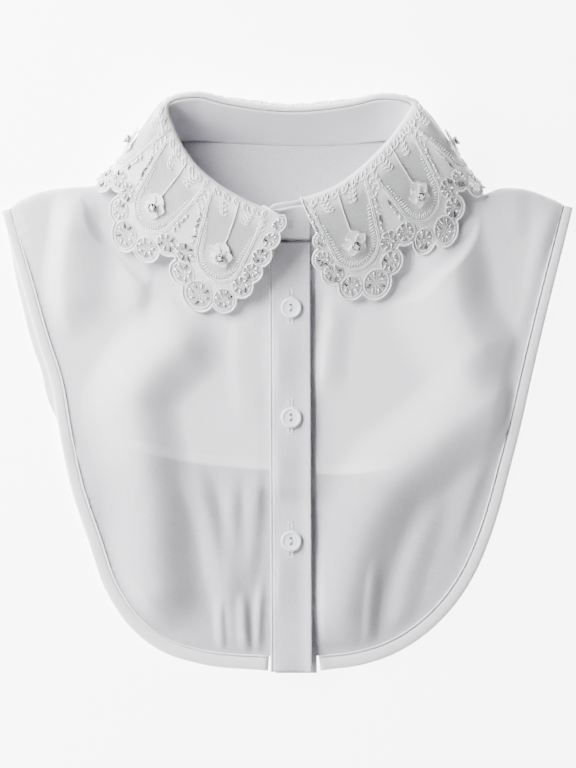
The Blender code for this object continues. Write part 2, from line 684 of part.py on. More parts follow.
def add_band(collection):
    """The collar stand: one strip round the neck, whose ends overlap at the front."""
    us = np.arange(BAND_START, BAND_END + BAND_STEP / 2, BAND_STEP)
    neck = through(NECK, us)
    seam, fold = neck[:, :3], neck[:, 3:]
    ahead = np.gradient(fold, axis=0)
    rise = fold - seam
    rise /= np.linalg.norm(rise, axis=1)[:, None]
    out = np.cross(rise, ahead)
    out /= np.linalg.norm(out, axis=1)[:, None]
    ends = np.clip((BAND_END - us) / BAND_ROUND, 0.0, 1.0)
    drop = BAND_ROUND_DROP * (1 - np.sqrt(1 - (1 - ends) ** 2))
    top = fold - rise * (BAND_TOP_GAP + drop)[:, None]
    middle = (seam + top) / 2 + out * 0.3
    sections = np.stack(
        [seam, middle, top, top - out * BAND_WALL, middle - out * BAND_WALL, seam - out * BAND_WALL], axis=1
    )
    return loft("neck_band", sections, CHIFFON, collection)


def leaf_inner_points(edge, wheels):
    """Points inside the leaf's outline: rows for its fold, an even grid, and its raised lace."""
    start, end = edge[0][0], edge[-1][0]
    first = BAND_STEP * math.ceil((start + 0.05) / BAND_STEP)
    found = []
    for depth in (1.5, 3.0, 4.5, 6.5):
        for u in np.arange(first, end - 0.05, BAND_STEP):
            found.append((u, depth))
    grid = []
    for row, depth in enumerate((12.0, 20.0, 28.0, 36.0, 44.0, 51.0, 58.0, 65.0)):
        fine = 0.075
        for step in range(int((end - start + 0.6) / fine)):
            u = start - 0.3 + step * fine + fine / 2 * (row % 2)
            near = min(abs(u - 3.1), abs(u - 6.9))
            if near < 0.35 or (step + row) % 2 == 0:
                grid.append((u, depth))
    if wheels:
        grid = [point for point in grid if not near_lace(*point)]
        for lobe in range(1, 10):
            if 3 < lobe < 7:
                continue
            for wheel in lobe_wheels(lobe):
                for radius in (wheel.radius, wheel.radius - 0.9):
                    for step in range(8):
                        angle = 2 * math.pi * (step + 0.5) / 8
                        depth = wheel.depth + radius * math.sin(angle)
                        side = wheel.side + radius * math.cos(angle)
                        found.append((float(lobe_place(lobe, side, depth)), depth))
            found += cord_points(lobe)
    return found + grid


def cord_points(lobe):
    """Three rows of points that raise the cord round a lobe's middle."""
    path = [(cord_half_width(d), d) for d in np.arange(CORD_TOP_DEPTH, CORD_FOOT - CORD_HALF_LOW, 6.5)]
    straight = CORD_FOOT - CORD_HALF_LOW
    for angle in np.radians((15, 45, 75, 90)):
        path.append((CORD_HALF_LOW * math.cos(angle), straight + CORD_HALF_LOW * math.sin(angle)))
    path += [(-side, depth) for side, depth in path[-2::-1]]
    path = np.array(path)
    found = []
    for shift in (-CORD_WIDTH / 2, 0.0, CORD_WIDTH / 2):
        for side, depth in offset_path(path, shift):
            found.append((float(lobe_place(lobe, side, depth)), float(depth)))
    return found


def near_lace(u, depth):
    """Whether a grid point would crowd a wheel's rim or a cord."""
    for lobe in range(1, 10):
        if 3 < lobe < 7:
            continue
        side = float((u - lobe) * towards_front(lobe) * lobe_width(depth))
        if abs(side) > 34:
            continue
        for wheel in lobe_wheels(lobe):
            if abs(math.hypot(side - wheel.side, depth - wheel.depth) - wheel.radius) < 2.4:
                return True
        if depth > CORD_TOP_DEPTH - 3 and abs(side) < 24 and float(cord_gap(side, np.float64(depth))) < 2.6:
            return True
    return False


def add_leaf(collection):
    """The lace leaf: one outline filled twice, plain inside and raised outside, and joined at its edge."""
    edge = leaf_outline()
    start, end = edge[0][0], edge[-1][0]
    last = BAND_STEP * math.floor((end - 0.05) / BAND_STEP)
    edge += [(float(u), 0.0) for u in np.arange(last, start + 0.05, -BAND_STEP)]
    flat_edge = np.array([(u * LOBE_WIDTH_FOLD, d) for u, d in edge])
    points = []
    faces = []
    for outer in (False, True):
        inner = np.array(leaf_inner_points(leaf_outline(), outer))
        inner = inner * (LOBE_WIDTH_FOLD, 1.0)
        inner = inner[depth_inside(inner[:, 0], inner[:, 1], flat_edge) > 0.75]
        flat, found = triangles_in(flat_edge, inner)
        u, depth = flat[:, 0] / LOBE_WIDTH_FOLD, flat[:, 1]
        place = leaf_point(u, depth)
        if outer:
            place = place + leaf_normal(u, depth) * (WALL + leaf_relief(u, depth))[:, None]
        base = len(points)
        points.extend(place)
        for a, b, c in found:
            faces.append((base + a, base + b, base + c) if outer else (base + a, base + c, base + b))
        if outer:
            count = len(edge)
            for i in range(count):
                j = (i + 1) % count
                faces.append((j, i, base + i))
                faces.append((j, base + i, base + j))
    return add_object("collar_fall", points, faces, LACE, collection)


def flower_seat(lobe, side, depth):
    """The leaf's inner face and outward direction under a flower, run on straight past a ridge."""
    held = np.maximum(side, RIDGE_SIDE) if lobe in (HIDDEN_START, HIDDEN_END) else side
    u = lobe_place(lobe, held, depth)
    place, out = leaf_point(u, depth), leaf_normal(u, depth)
    across = leaf_point(lobe_place(lobe, held + 1.0, depth), depth) - place
    across /= np.linalg.norm(across, axis=1)[:, None]
    return place + across * (side - held)[:, None], out


def add_flower(number, lobe, collection):
    """Five rounded organza petals in one piece that follows the leaf just above it."""
    spread = []
    for ring in FLOWER_RINGS:
        for step in range(FLOWER_AROUND):
            angle = 2 * math.pi * step / FLOWER_AROUND
            parting = math.sin(PETALS * angle / 2) ** 4
            size = ring.radius * (1 - ring.notch * parting)
            spread.append((size * math.sin(angle), size * math.cos(angle), ring.lift))
    spread.append((0.0, 0.0, 0.0))
    spread = np.array(spread)
    place, out = flower_seat(lobe, spread[:, 0], FLOWER_DEPTH + spread[:, 1])
    low = place + out * (WALL + GAP + FLOWER_LIFT + spread[:, 2])[:, None]
    high = low + out * FLOWER_WALL
    centre = len(FLOWER_RINGS) * FLOWER_AROUND
    top = len(low)
    faces = []
    for i in range(FLOWER_AROUND):
        j = (i + 1) % FLOWER_AROUND
        faces.append((centre, j, i))
        faces.append((top + centre, top + i, top + j))
        for ring in range(len(FLOWER_RINGS) - 1):
            a, b = ring * FLOWER_AROUND, (ring + 1) * FLOWER_AROUND
            faces.append((a + i, a + j, b + j, b + i))
            faces.append((top + a + i, top + b + i, top + b + j, top + a + j))
        last = centre - FLOWER_AROUND
        faces.append((last + i, last + j, top + last + j, top + last + i))
    if lobe > NECK[-1].lobe / 2:
        faces = [face[::-1] for face in faces]
    return add_object(f"flower_{number}", np.vstack([low, high]), faces, ORGANZA, collection)


def turned(name, profile, steps, finish, collection):
    """A turned piece from a profile of radius and height, top to bottom down its outer side."""
    mesh = bpy.data.meshes.new(name)
    points = [(radius * MM, 0.0, height * MM) for radius, height in profile]
    mesh.from_pydata(points, [(i, i + 1) for i in range(len(points) - 1)], [])
    mesh.materials.append(material(finish))
    obj = bpy.data.objects.new(name, mesh)
    collection.objects.link(obj)
    screw = obj.modifiers.new("Turn", "SCREW")
    screw.steps = steps
    screw.render_steps = steps
    screw.use_merge_vertices = True
    screw.merge_threshold = 0.00002
    return obj


def add_stone(number, lobe, collection):
    """A claw-set stone: a cup with a faceted crown, seated above its flower's middle."""
    profile = [
        (0.0, STONE_HEIGHT),
        (STONE_RADIUS * 0.55, STONE_HEIGHT),
        (STONE_RADIUS, STONE_HEIGHT * 0.62),
        (STONE_RADIUS, STONE_HEIGHT * 0.3),
        (STONE_RADIUS * 0.7, 0.0),
        (0.0, 0.0),
    ]
    obj = turned(f"rhinestone_{number}", profile, 8, STONE, collection)
    place, out = (found[0] for found in flower_seat(lobe, np.zeros(1), np.full(1, STONE_DEPTH)))
    seat = WALL + GAP + FLOWER_LIFT + FLOWER_WALL + GAP + STONE_CLEAR
    obj.location = (place + out * seat) * MM
    turn = math.acos(out[2])
    axis = np.cross((0.0, 0.0, 1.0), out)
    axis /= np.linalg.norm(axis)
    obj.rotation_mode = "AXIS_ANGLE"
    obj.rotation_axis_angle = (turn, *axis)
    return obj


def add_button(number, y, collection, cutters):
    """A two-hole shirt button with a raised rim, lying on the placket."""
    radius, height = BUTTON_RADIUS, BUTTON_HEIGHT
    profile = [
        (0.0, height * 0.6),
        (radius * 0.62, height * 0.6),
        (radius * 0.78, height),
        (radius * 0.92, height),
        (radius, height * 0.7),
        (radius, height * 0.3),
        (radius * 0.85, 0.0),
        (0.0, 0.0),
    ]
    obj = turned(f"button_{number}", profile, 24, BUTTON, collection)
    middle = placket_height(y)[0] + UNDER_PLACKET_WALL + GAP + PLACKET_LIFT / 2 + PLACKET_WALL
    tilt = math.atan2(PLACKET_LIFT, PLACKET_WIDTH)
    obj.location = (BUTTON_X * MM, y * MM, (middle + BUTTON_CLEAR) * MM)
    obj.rotation_euler = (0.0, -tilt, 0.0)
    for side in (-1, 1):
        bpy.ops.mesh.primitive_cylinder_add(vertices=10, radius=BUTTON_HOLE * MM, depth=4 * height * MM)
        cutter = bpy.context.object
        cutter.name = f"button_{number}_hole_{'low' if side < 0 else 'high'}"
        for owner in list(cutter.users_collection):
            owner.objects.unlink(cutter)
        cutters.objects.link(cutter)
        cutter.parent = obj
        cutter.location = (0.0, side * BUTTON_HOLE_APART / 2 * MM, 0.0)
        cutter.hide_render = True
        cutter.display_type = "WIRE"
        hole = obj.modifiers.new("Hole", "BOOLEAN")
        hole.object = cutter
        hole.operation = "DIFFERENCE"
    return obj


def between(path, low, high):
    """The points of a path whose X lies between two limits."""
    return path[(path[:, 0] > low) & (path[:, 0] < high)]


def panel_outline_left():
    """The left front, from the neck seam down the placket and back along its binding."""
    edge = offset_path(LEFT_EDGE, binding_width(LEFT_EDGE) + PANEL_GAP)
    ys = np.linspace(87.5, edge[-1, 1] + 1.0, 22)
    centre = np.column_stack([placket_left(ys) - GAP, ys])
    seam = FRONT_SEAM[FRONT_SEAM[:, 0] < centre[0, 0] - SEAM_CLEAR]
    edge = edge[edge[:, 0] < centre[-1, 0] - CORNER_CLEAR]
    shoulder = between(LEFT_FOLD_LINE, edge[0, 0] + CORNER_CLEAR, seam[0, 0] - SEAM_CLEAR)
    return np.vstack([seam, centre, edge[::-1], shoulder[::-1]])


def panel_outline_right():
    """The right front, the other way round."""
    edge = offset_path(RIGHT_EDGE, -binding_width(RIGHT_EDGE) - PANEL_GAP)
    ys = np.linspace(88.5, edge[-1, 1] + 1.0, 22)
    centre = np.column_stack([placket_left(ys) + PLACKET_WIDTH + UNDER_PLACKET_SHIFT + PANEL_GAP, ys])
    seam = FRONT_SEAM_RIGHT[FRONT_SEAM_RIGHT[:, 0] > centre[0, 0] + SEAM_CLEAR]
    edge = edge[edge[:, 0] > centre[-1, 0] + CORNER_CLEAR]
    shoulder = between(RIGHT_FOLD_LINE, seam[-1, 0] + SEAM_CLEAR, edge[0, 0] - CORNER_CLEAR)
    return np.vstack([shoulder, edge, centre[::-1], seam])[::-1]


def panel_outline_back():
    """The back, from its bound edge to the shoulder folds and the neck seam."""
    seam = offset_path(seam_line(HIDDEN_START, HIDDEN_END, 0.2), -BACK_SEAM)
    edge = offset_path(BACK_EDGE, BACK_BINDING_WIDTH + PANEL_GAP)
    left = between(LEFT_FOLD_LINE, edge[0, 0] + CORNER_CLEAR, seam[0, 0] - SEAM_CLEAR)
    right = between(RIGHT_FOLD_LINE, seam[-1, 0] + SEAM_CLEAR, edge[-1, 0] - CORNER_CLEAR)
    return np.vstack([edge, right[::-1], seam[::-1], left])


def counter_clockwise(loop):
    """The loop turned to run counter-clockwise."""
    x, y = loop.T
    area = (x * np.roll(y, -1) - np.roll(x, -1) * y).sum()
    return loop if area > 0 else loop[::-1]


def build():
    """The whole garment in one collection, with the button holes' cutters in another."""
    for obj in list(bpy.data.objects):
        bpy.data.objects.remove(obj, do_unlink=True)
    garment = bpy.data.collections.new("false_collar")
    cutters = bpy.data.collections.new("cutters")
    bpy.context.scene.collection.children.link(garment)
    bpy.context.scene.collection.children.link(cutters)
    shoulder_rows = [
        offset_path(line, inset)
        for line, sign in ((LEFT_FOLD_LINE, 1.0), (RIGHT_FOLD_LINE, -1.0))
        for inset in (2.5 * sign, 6.5 * sign)
    ]
    for name, outline in (("front_left", panel_outline_left()), ("front_right", panel_outline_right())):
        add_panel(name, counter_clockwise(outline), PANEL_GRID, front_height, garment, shoulder_rows)
    add_panel("back", counter_clockwise(panel_outline_back()), BACK_GRID, back_height, garment)
    left_widths = binding_width(LEFT_EDGE)
    add_binding("binding_front_left", LEFT_EDGE, left_widths, BINDING_WALL, base_height, garment)
    right_widths = binding_width(RIGHT_EDGE)[::-1]
    add_binding("binding_front_right", RIGHT_EDGE[::-1], right_widths, BINDING_WALL, base_height, garment)
    widths = np.full(len(BACK_EDGE), BACK_BINDING_WIDTH)
    add_binding("binding_back", BACK_EDGE, widths, BACK_BINDING_WALL, back_height, garment)
    add_placket(
        "under_placket", UNDER_PLACKET_SHIFT, (0.0, 0.0, 0.0), UNDER_PLACKET_WALL, PLACKET_TOP - 0.5,
        PLACKET_BOTTOM - 0.8, garment
    )
    over = UNDER_PLACKET_WALL + GAP
    lift = (over, over + PLACKET_LIFT / 2, over + PLACKET_LIFT)
    add_placket("placket", 0.0, lift, PLACKET_WALL, PLACKET_TOP, PLACKET_BOTTOM, garment)
    add_band(garment)
    add_leaf(garment)
    for number, lobe in enumerate((1, 2, 3, 7, 8, 9), start=1):
        add_flower(number, lobe, garment)
        add_stone(number, lobe, garment)
    for number, y in enumerate(BUTTON_Y, start=1):
        add_button(number, y, garment, cutters)


build()
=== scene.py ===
"""Looks for a false collar in white chiffon with a beaded lace fall, laid flat on its back.

Lengths in the tables are in millimetres, like the garment's own drawing: X across, Y from hem
to neck, Z up. A lobe coordinate runs along the lace fall: 1 is the first lobe at the left
front, 5 the centre back and 9 the last at the right front.
"""

import math
from collections import namedtuple

import bmesh
import bpy
import numpy as np
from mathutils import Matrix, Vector
from mathutils.geometry import delaunay_2d_cdt


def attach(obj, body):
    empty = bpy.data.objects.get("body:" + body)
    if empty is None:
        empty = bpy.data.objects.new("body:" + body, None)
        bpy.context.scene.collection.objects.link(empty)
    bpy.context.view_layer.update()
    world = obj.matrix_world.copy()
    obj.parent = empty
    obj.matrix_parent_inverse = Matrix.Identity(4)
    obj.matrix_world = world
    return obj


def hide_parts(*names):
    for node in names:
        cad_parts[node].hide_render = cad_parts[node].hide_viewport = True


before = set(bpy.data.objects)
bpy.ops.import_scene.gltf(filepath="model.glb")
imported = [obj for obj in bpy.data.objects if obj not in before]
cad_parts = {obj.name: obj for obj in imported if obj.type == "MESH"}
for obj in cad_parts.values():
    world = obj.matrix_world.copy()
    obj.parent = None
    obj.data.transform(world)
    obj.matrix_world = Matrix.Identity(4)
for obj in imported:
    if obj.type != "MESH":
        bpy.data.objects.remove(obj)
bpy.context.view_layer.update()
MM = 0.001

# ---- The view
# The collar lies on a plain white table and is seen from straight above through a long lens. A
# soft window light comes low from the upper left and draws the folds; a pale card at the lower left
# and a wide lamp above fill the shade under the lace.
VIEW_WIDTH = 357.1 * MM
VIEW_CENTRE = (0.4 * MM, -0.7 * MM)
VIEW_DISTANCE = 3.0
LONG_SIDE = 768 / 576
SENSOR_WIDTH = 36.0
Lamp = namedtuple("Lamp", "name place size power")
LAMPS = [
    Lamp("window", (-0.86, 0.52, 0.53), 0.90, 70.0),
    Lamp("pale_card", (-0.50, -0.92, 0.46), 0.80, 12.0),
    Lamp("ceiling", (-0.30, 0.30, 2.60), 1.80, 4.0),
]
ROOM_COLOUR = (1.0, 0.98, 0.96, 1.0)
ROOM_LIGHT = 0.07
TABLE_HALF = 4.0
TABLE_DROP = 0.0004
TABLE_COLOUR = (0.86, 0.86, 0.86, 1.0)
TABLE_GLOW = 6.0

eye = bpy.data.objects.new("view_from_above", bpy.data.cameras.new("view_from_above"))
eye.data.sensor_width = SENSOR_WIDTH
eye.data.lens = SENSOR_WIDTH * VIEW_DISTANCE / (VIEW_WIDTH * LONG_SIDE)
eye.data.clip_end = 20.0
eye.location = (*VIEW_CENTRE, VIEW_DISTANCE)
bpy.context.scene.collection.objects.link(eye)
bpy.context.scene.camera = eye

for row in LAMPS:
    lamp = bpy.data.objects.new(row.name, bpy.data.lights.new(row.name, "AREA"))
    lamp.data.size = row.size
    lamp.data.energy = row.power
    lamp.location = row.place
    lamp.rotation_euler = (-Vector(row.place)).to_track_quat("-Z", "Y").to_euler()
    bpy.context.scene.collection.objects.link(lamp)
world = bpy.data.worlds.new("room")
world.use_nodes = True
world.node_tree.nodes["Background"].inputs["Color"].default_value = ROOM_COLOUR
world.node_tree.nodes["Background"].inputs["Strength"].default_value = ROOM_LIGHT
bpy.context.scene.world = world

table_mesh = bpy.data.meshes.new("table")
corners = [(x * TABLE_HALF, y * TABLE_HALF, -TABLE_DROP) for x, y in ((-1, -1), (1, -1), (1, 1), (-1, 1))]
table_mesh.from_pydata(corners, [], [(0, 1, 2, 3)])
table = bpy.data.objects.new("table", table_mesh)
bpy.context.scene.collection.objects.link(table)
white = bpy.data.materials.new("white_table")
white.use_nodes = True
table_shader = white.node_tree.nodes["Principled BSDF"]
table_shader.inputs["Base Color"].default_value = TABLE_COLOUR
table_shader.inputs["Roughness"].default_value = 0.9
table_shader.inputs["Emission Color"].default_value = (1.0, 1.0, 1.0, 1.0)
table_shader.inputs["Emission Strength"].default_value = TABLE_GLOW
table_mesh.materials.append(white)

# ---- Back panel
# One layer of crepe chiffon, cut short and curved. The garment lies on it, and at the neck it
# shows through the opening; the lobes of the lace fall that nobody sees lie folded under it.
NeckRow = namedtuple("NeckRow", "lobe seam_x seam_y seam_z fold_x fold_y fold_z")
NECK = [
    NeckRow(-0.2, 14.0, 88.0, 4.2, 14.0, 109.5, 24.0),
    NeckRow(0.0, 7.5, 88.0, 4.2, 7.5, 109.0, 24.0),
    NeckRow(0.5, -13.0, 88.5, 4.2, -10.5, 106.5, 24.5),
    NeckRow(1.0, -34.5, 95.5, 4.8, -28.5, 113.5, 25.5),
    NeckRow(1.5, -51.0, 106.0, 5.8, -45.5, 124.0, 27.0),
    NeckRow(2.0, -63.5, 117.5, 6.6, -59.0, 137.0, 28.5),
    NeckRow(2.5, -72.0, 132.5, 7.2, -69.0, 154.5, 29.5),
    NeckRow(3.0, -76.0, 147.5, 6.5, -72.5, 171.0, 30.0),
    NeckRow(3.5, -61.5, 150.5, 3.2, -55.5, 175.5, 28.5),
    NeckRow(4.0, -40.5, 149.5, 1.8, -37.0, 171.5, 26.0),
    NeckRow(5.0, 1.5, 147.5, 1.4, 1.5, 167.0, 23.5),
    NeckRow(6.0, 40.0, 148.5, 1.8, 39.5, 170.5, 26.0),
    NeckRow(6.5, 61.0, 150.5, 3.2, 58.5, 174.5, 28.5),
    NeckRow(7.0, 78.5, 148.5, 6.5, 76.0, 171.0, 30.0),
    NeckRow(7.5, 75.0, 135.5, 7.2, 70.5, 160.0, 29.5),
    NeckRow(8.0, 66.0, 123.5, 6.6, 61.0, 147.5, 28.5),
    NeckRow(8.5, 51.5, 109.0, 5.8, 46.5, 133.0, 27.0),
    NeckRow(9.0, 32.5, 96.5, 4.8, 29.5, 120.5, 25.5),
    NeckRow(9.5, 11.5, 91.0, 3.4, 10.5, 113.5, 24.6),
    NeckRow(10.0, -4.0, 90.5, 3.0, -5.0, 110.5, 24.6),
    NeckRow(10.2, -10.5, 91.0, 3.0, -12.0, 110.5, 24.6),
]
BACK_SIDE = [
    (-175.5, 105.5), (-171.5, 82.5), (-167.5, 60.5), (-163.5, 44.0), (-158.5, 24.5),
    (-152.5, 7.0), (-148.0, -12.0), (-141.0, -24.5), (-127.5, -32.0), (-104.0, -39.0),
    (-64.0, -48.5), (-14.5, -53.5), (45.5, -56.0), (76.0, -51.0), (104.0, -40.0),
    (128.0, -23.0), (141.0, -4.0), (149.0, 20.0), (158.0, 46.0), (168.0, 84.0), (175.0, 106.5),
]  # fmt: skip
LEFT_SHOULDER = [
    (-77.5, 146.0), (-85.0, 142.0), (-97.5, 135.0), (-107.0, 127.5), (-118.0, 122.0),
    (-130.5, 121.0), (-154.5, 117.5), (-170.5, 110.0), (-177.0, 106.5),
]  # fmt: skip
RIGHT_SHOULDER = [
    (80.0, 146.5), (89.0, 141.5), (101.0, 133.5), (111.0, 124.0), (121.0, 116.5),
    (131.0, 120.0), (144.5, 120.0), (168.0, 112.0), (177.0, 108.5),
]  # fmt: skip
LEAF_UNDER = 1.3
LOBES_UNDER_Y = 86.0
LOBES_UNDER_HALF = 150.0
LOBES_UNDER_STEP = 12.0
NECK_MIDDLE = 1.5
BACK_BINDING_WIDTH = 7.5
BACK_SEAM_IN = 0.8
BACK_EDGE_CLEAR = 0.5
CORNER_AT_SEAM = 3.0
CORNER_AT_EDGE = 4.0
BACK_GRID = 2.5
BACK_RIPPLE = 0.12
BACK_RIPPLE_LONG = 60.0
CLOTH_LIFT = 0.25
CLOTH_WALL = 0.5
WAVES = 7
WAVE_PEAK = 4.2
GRID_ROW = 0.87
GRID_MARGIN = 0.45


def smooth(value):
    """0 to 1 with level ends."""
    value = np.clip(value, 0.0, 1.0)
    return value * value * (3 - 2 * value)


def through(rows, at):
    """A smooth curve through rows, whose first column is the place along it."""
    rows = np.array(rows, float)
    places, values = rows[:, 0], rows[:, 1:]
    step = np.diff(places)
    slope = np.diff(values, axis=0) / step[:, None]
    middle = (slope[:-1] * step[1:, None] + slope[1:] * step[:-1, None]) / (step[:-1] + step[1:])[:, None]
    tangent = np.vstack([slope[:1], middle, slope[-1:]])
    at = np.atleast_1d(np.asarray(at, float))
    cell = np.clip(np.searchsorted(places, at, side="right") - 1, 0, len(step) - 1)
    width = step[cell][:, None]
    t = (at[:, None] - places[cell][:, None]) / width
    return (
        (2 * t**3 - 3 * t**2 + 1) * values[cell]
        + (t**3 - 2 * t**2 + t) * width * tangent[cell]
        + (3 * t**2 - 2 * t**3) * values[cell + 1]
        + (t**3 - t**2) * width * tangent[cell + 1]
    )


def unit(vectors):
    """The same directions, each with the length 1."""
    return vectors / np.linalg.norm(vectors, axis=-1, keepdims=True)


def lengths_along(path):
    """How far along a path each of its points lies."""
    return np.concatenate([[0.0], np.cumsum(np.linalg.norm(np.diff(path, axis=0), axis=1))])


def smooth_path(points, spacing):
    """Points at an even spacing on a smooth curve through the given ones."""
    points = np.array(points, float)
    along = lengths_along(points)
    count = max(2, int(round(along[-1] / spacing)) + 1)
    return through(np.column_stack([along, points]), np.linspace(0.0, along[-1], count))


def offset_path(points, distance):
    """The path moved to its left by a distance, which may vary along it."""
    run = unit(np.gradient(points, axis=0))
    return points + np.column_stack([-run[:, 1], run[:, 0]]) * np.reshape(distance, (-1, 1))


def path_place(x, y, path):
    """Distance from each point to an open path, and how far along it the nearest spot is."""
    start, end = path[:-1], path[1:]
    run = end - start
    length = np.maximum(np.hypot(*run.T), 1e-6)
    before = np.concatenate([[0.0], np.cumsum(length)[:-1]])
    gap = np.full(len(x), np.inf)
    along = np.zeros(len(x))
    for (x0, y0), (dx, dy), size, done in zip(start, run, length, before):
        t = np.clip(((x - x0) * dx + (y - y0) * dy) / size**2, 0.0, 1.0)
        away = np.hypot(x - x0 - t * dx, y - y0 - t * dy)
        nearer = away < gap
        gap = np.where(nearer, away, gap)
        along = np.where(nearer, done + t * size, along)
    return gap, along


def depth_inside(x, y, loop):
    """Distance in from a loop's edge, negative outside."""
    closed = np.vstack([loop, loop[:1]])
    crossings = np.zeros(len(x), int)
    for (x0, y0), (x1, y1) in zip(closed[:-1], closed[1:]):
        if y0 != y1:
            cross = x0 + (y - y0) * (x1 - x0) / (y1 - y0)
            crossings += ((y0 > y) != (y1 > y)) & (x < cross)
    gap = path_place(x, y, closed)[0]
    return np.where(crossings % 2 == 1, gap, -gap)


def seam_line(start, end, spacing=0.04):
    """The neck seam in plan between two lobe coordinates."""
    count = int(abs(end - start) / spacing) + 2
    return through(NECK, np.linspace(start, end, count))[:, :2]


def between(path, low, high):
    """The points of a path whose X lies between two limits."""
    return path[(path[:, 0] > low) & (path[:, 0] < high)]


BACK_EDGE = smooth_path(BACK_SIDE, 3.0)
LEFT_FOLD_LINE = smooth_path(LEFT_SHOULDER, 3.0)
RIGHT_FOLD_LINE = smooth_path(RIGHT_SHOULDER, 3.0)
WHOLE_BACK = np.vstack(
    [LEFT_FOLD_LINE[::-4], seam_line(3.1, 6.9, 0.12), RIGHT_FOLD_LINE[::4], BACK_EDGE[::-4]]
)


def back_height(x, y):
    """Underside of the back panel: it lies on the lace fall's hidden lobes near the neck."""
    up = smooth((y - LOBES_UNDER_Y) / LOBES_UNDER_STEP)
    across = smooth((LOBES_UNDER_HALF - np.abs(x - NECK_MIDDLE)) / LOBES_UNDER_STEP)
    return LEAF_UNDER * up * across


def wrinkles(x, y, seed, length):
    """Soft random waves between -1 and 1, about as long as given."""
    rng = np.random.default_rng(seed)
    total = np.zeros_like(x)
    for _ in range(WAVES):
        turn = rng.uniform(0, math.pi)
        size = length * rng.uniform(0.7, 1.5)
        phase = rng.uniform(0, 2 * math.pi)
        across = x * math.cos(turn) + y * math.sin(turn)
        bend = np.sin((x * math.sin(turn) - y * math.cos(turn)) / (size * 1.7) + phase * 2)
        total += np.sin(across * 2 * math.pi / size + phase + bend * 1.4) * (0.5 + 0.5 * bend)
    return total / WAVE_PEAK


def fill(outline, spacing):
    """Triangles that fill an outline on a staggered grid, counter-clockwise seen from above."""
    low, high = outline.min(axis=0), outline.max(axis=0)
    rows = []
    for row in range(int((high[1] - low[1]) / (spacing * GRID_ROW)) + 1):
        xs = np.arange(low[0] + spacing / 2 * (row % 2), high[0], spacing)
        rows.append(np.column_stack([xs, np.full(len(xs), low[1] + spacing * GRID_ROW * row)]))
    inner = np.vstack(rows)
    inner = inner[depth_inside(inner[:, 0], inner[:, 1], outline) > spacing * GRID_MARGIN]
    count = len(outline)
    border = [(i, (i + 1) % count) for i in range(count)]
    spots = list(map(tuple, np.vstack([outline, inner])))
    points, _, faces, *_ = delaunay_2d_cdt(spots, border, [], 1, 1e-5)
    points = np.array([tuple(point) for point in points])
    a, b, c = (points[[face[i] for face in faces]] for i in range(3))
    area = (b[:, 0] - a[:, 0]) * (c[:, 1] - a[:, 1]) - (b[:, 1] - a[:, 1]) * (c[:, 0] - a[:, 0])
    sized = [(tuple(face), size) for face, size in zip(faces, area) if abs(size) > 1e-6]
    return points, [face if size > 0 else face[::-1] for face, size in sized]


def add_piece(name, points, faces, finish):
    """A piece of the garment from points in millimetres, with its place in its mesh."""
    mesh = bpy.data.meshes.new(name)
    mesh.from_pydata([tuple(point) for point in np.asarray(points) * MM], [], faces)
    mesh.materials.append(finish.material)
    mesh.shade_smooth()
    piece = bpy.data.objects.new(name, mesh)
    bpy.context.scene.collection.objects.link(piece)
    return piece


def paint(piece, name, values):
    """A value at each point of a piece, for its material."""
    layer = piece.data.attributes.new(name, "FLOAT", "POINT")
    layer.data.foreach_set("value", np.asarray(values, np.float32))


def give_wall(piece, thickness):
    """Cloth of a given thickness, outwards from the piece's points."""
    wall = piece.modifiers.new("Wall", "SOLIDIFY")
    wall.thickness = thickness * MM
    wall.offset = 1.0


class Socket:
    """A node's output that takes part in sums, so that a pattern is written as an expression."""

    def __init__(self, finish, socket):
        self.finish = finish
        self.socket = socket

    def maths(self, operation, *others):
        values = {0: self}
        values.update({i: other for i, other in enumerate(others, start=1)})
        return self.finish.node("ShaderNodeMath", {"operation": operation}, values)

    def flipped(self, operation, other):
        return self.finish.node("ShaderNodeMath", {"operation": operation}, {0: other, 1: self})

    def __add__(self, other):
        return self.maths("ADD", other)

    def __sub__(self, other):
        return self.maths("SUBTRACT", other)

    def __mul__(self, other):
        return self.maths("MULTIPLY", other)

    def __radd__(self, other):
        return self.flipped("ADD", other)

    def __rsub__(self, other):
        return self.flipped("SUBTRACT", other)

    def __rmul__(self, other):
        return self.flipped("MULTIPLY", other)

    def clamp(self):
        return self.finish.node("ShaderNodeClamp", {}, {"Value": self})


class Finish:
    """One material. Constants go on the shader; node() adds any other node."""

    def __init__(self, name, **constants):
        self.material = bpy.data.materials.new(name)
        self.material.use_nodes = True
        self.tree = self.material.node_tree
        self.shader = self.tree.nodes["Principled BSDF"]
        for socket, value in constants.items():
            self.shader.inputs[socket.replace("_", " ").title()].default_value = value

    def node(self, kind, settings, sockets, output=0):
        made = self.tree.nodes.new(kind)
        for setting, value in settings.items():
            setattr(made, setting, value)
        for socket, value in sockets.items():
            if isinstance(value, Socket):
                self.tree.links.new(value.socket, made.inputs[socket])
            else:
                made.inputs[socket].default_value = value
        return Socket(self, made.outputs[output])

    def drive(self, socket, value):
        self.tree.links.new(value.socket, self.shader.inputs[socket])

    def place(self):
        return self.node("ShaderNodeTexCoord", {}, {}, "Object")

    def noise(self, scale, detail=2.0, vector=None):
        sockets = {"Vector": vector or self.place(), "Scale": scale, "Detail": detail}
        return self.node("ShaderNodeTexNoise", {}, sockets)

    def attribute(self, name):
        return self.node("ShaderNodeAttribute", {"attribute_name": name}, {}, "Fac")

    def blend(self, share, first, second):
        sockets = {0: share, 6: first, 7: second}
        return self.node("ShaderNodeMix", {"data_type": "RGBA"}, sockets, 2)

    def bump(self, height, distance, strength=1.0):
        sockets = {"Height": height, "Distance": distance * MM, "Strength": strength}
        self.drive("Normal", self.node("ShaderNodeBump", {}, sockets))


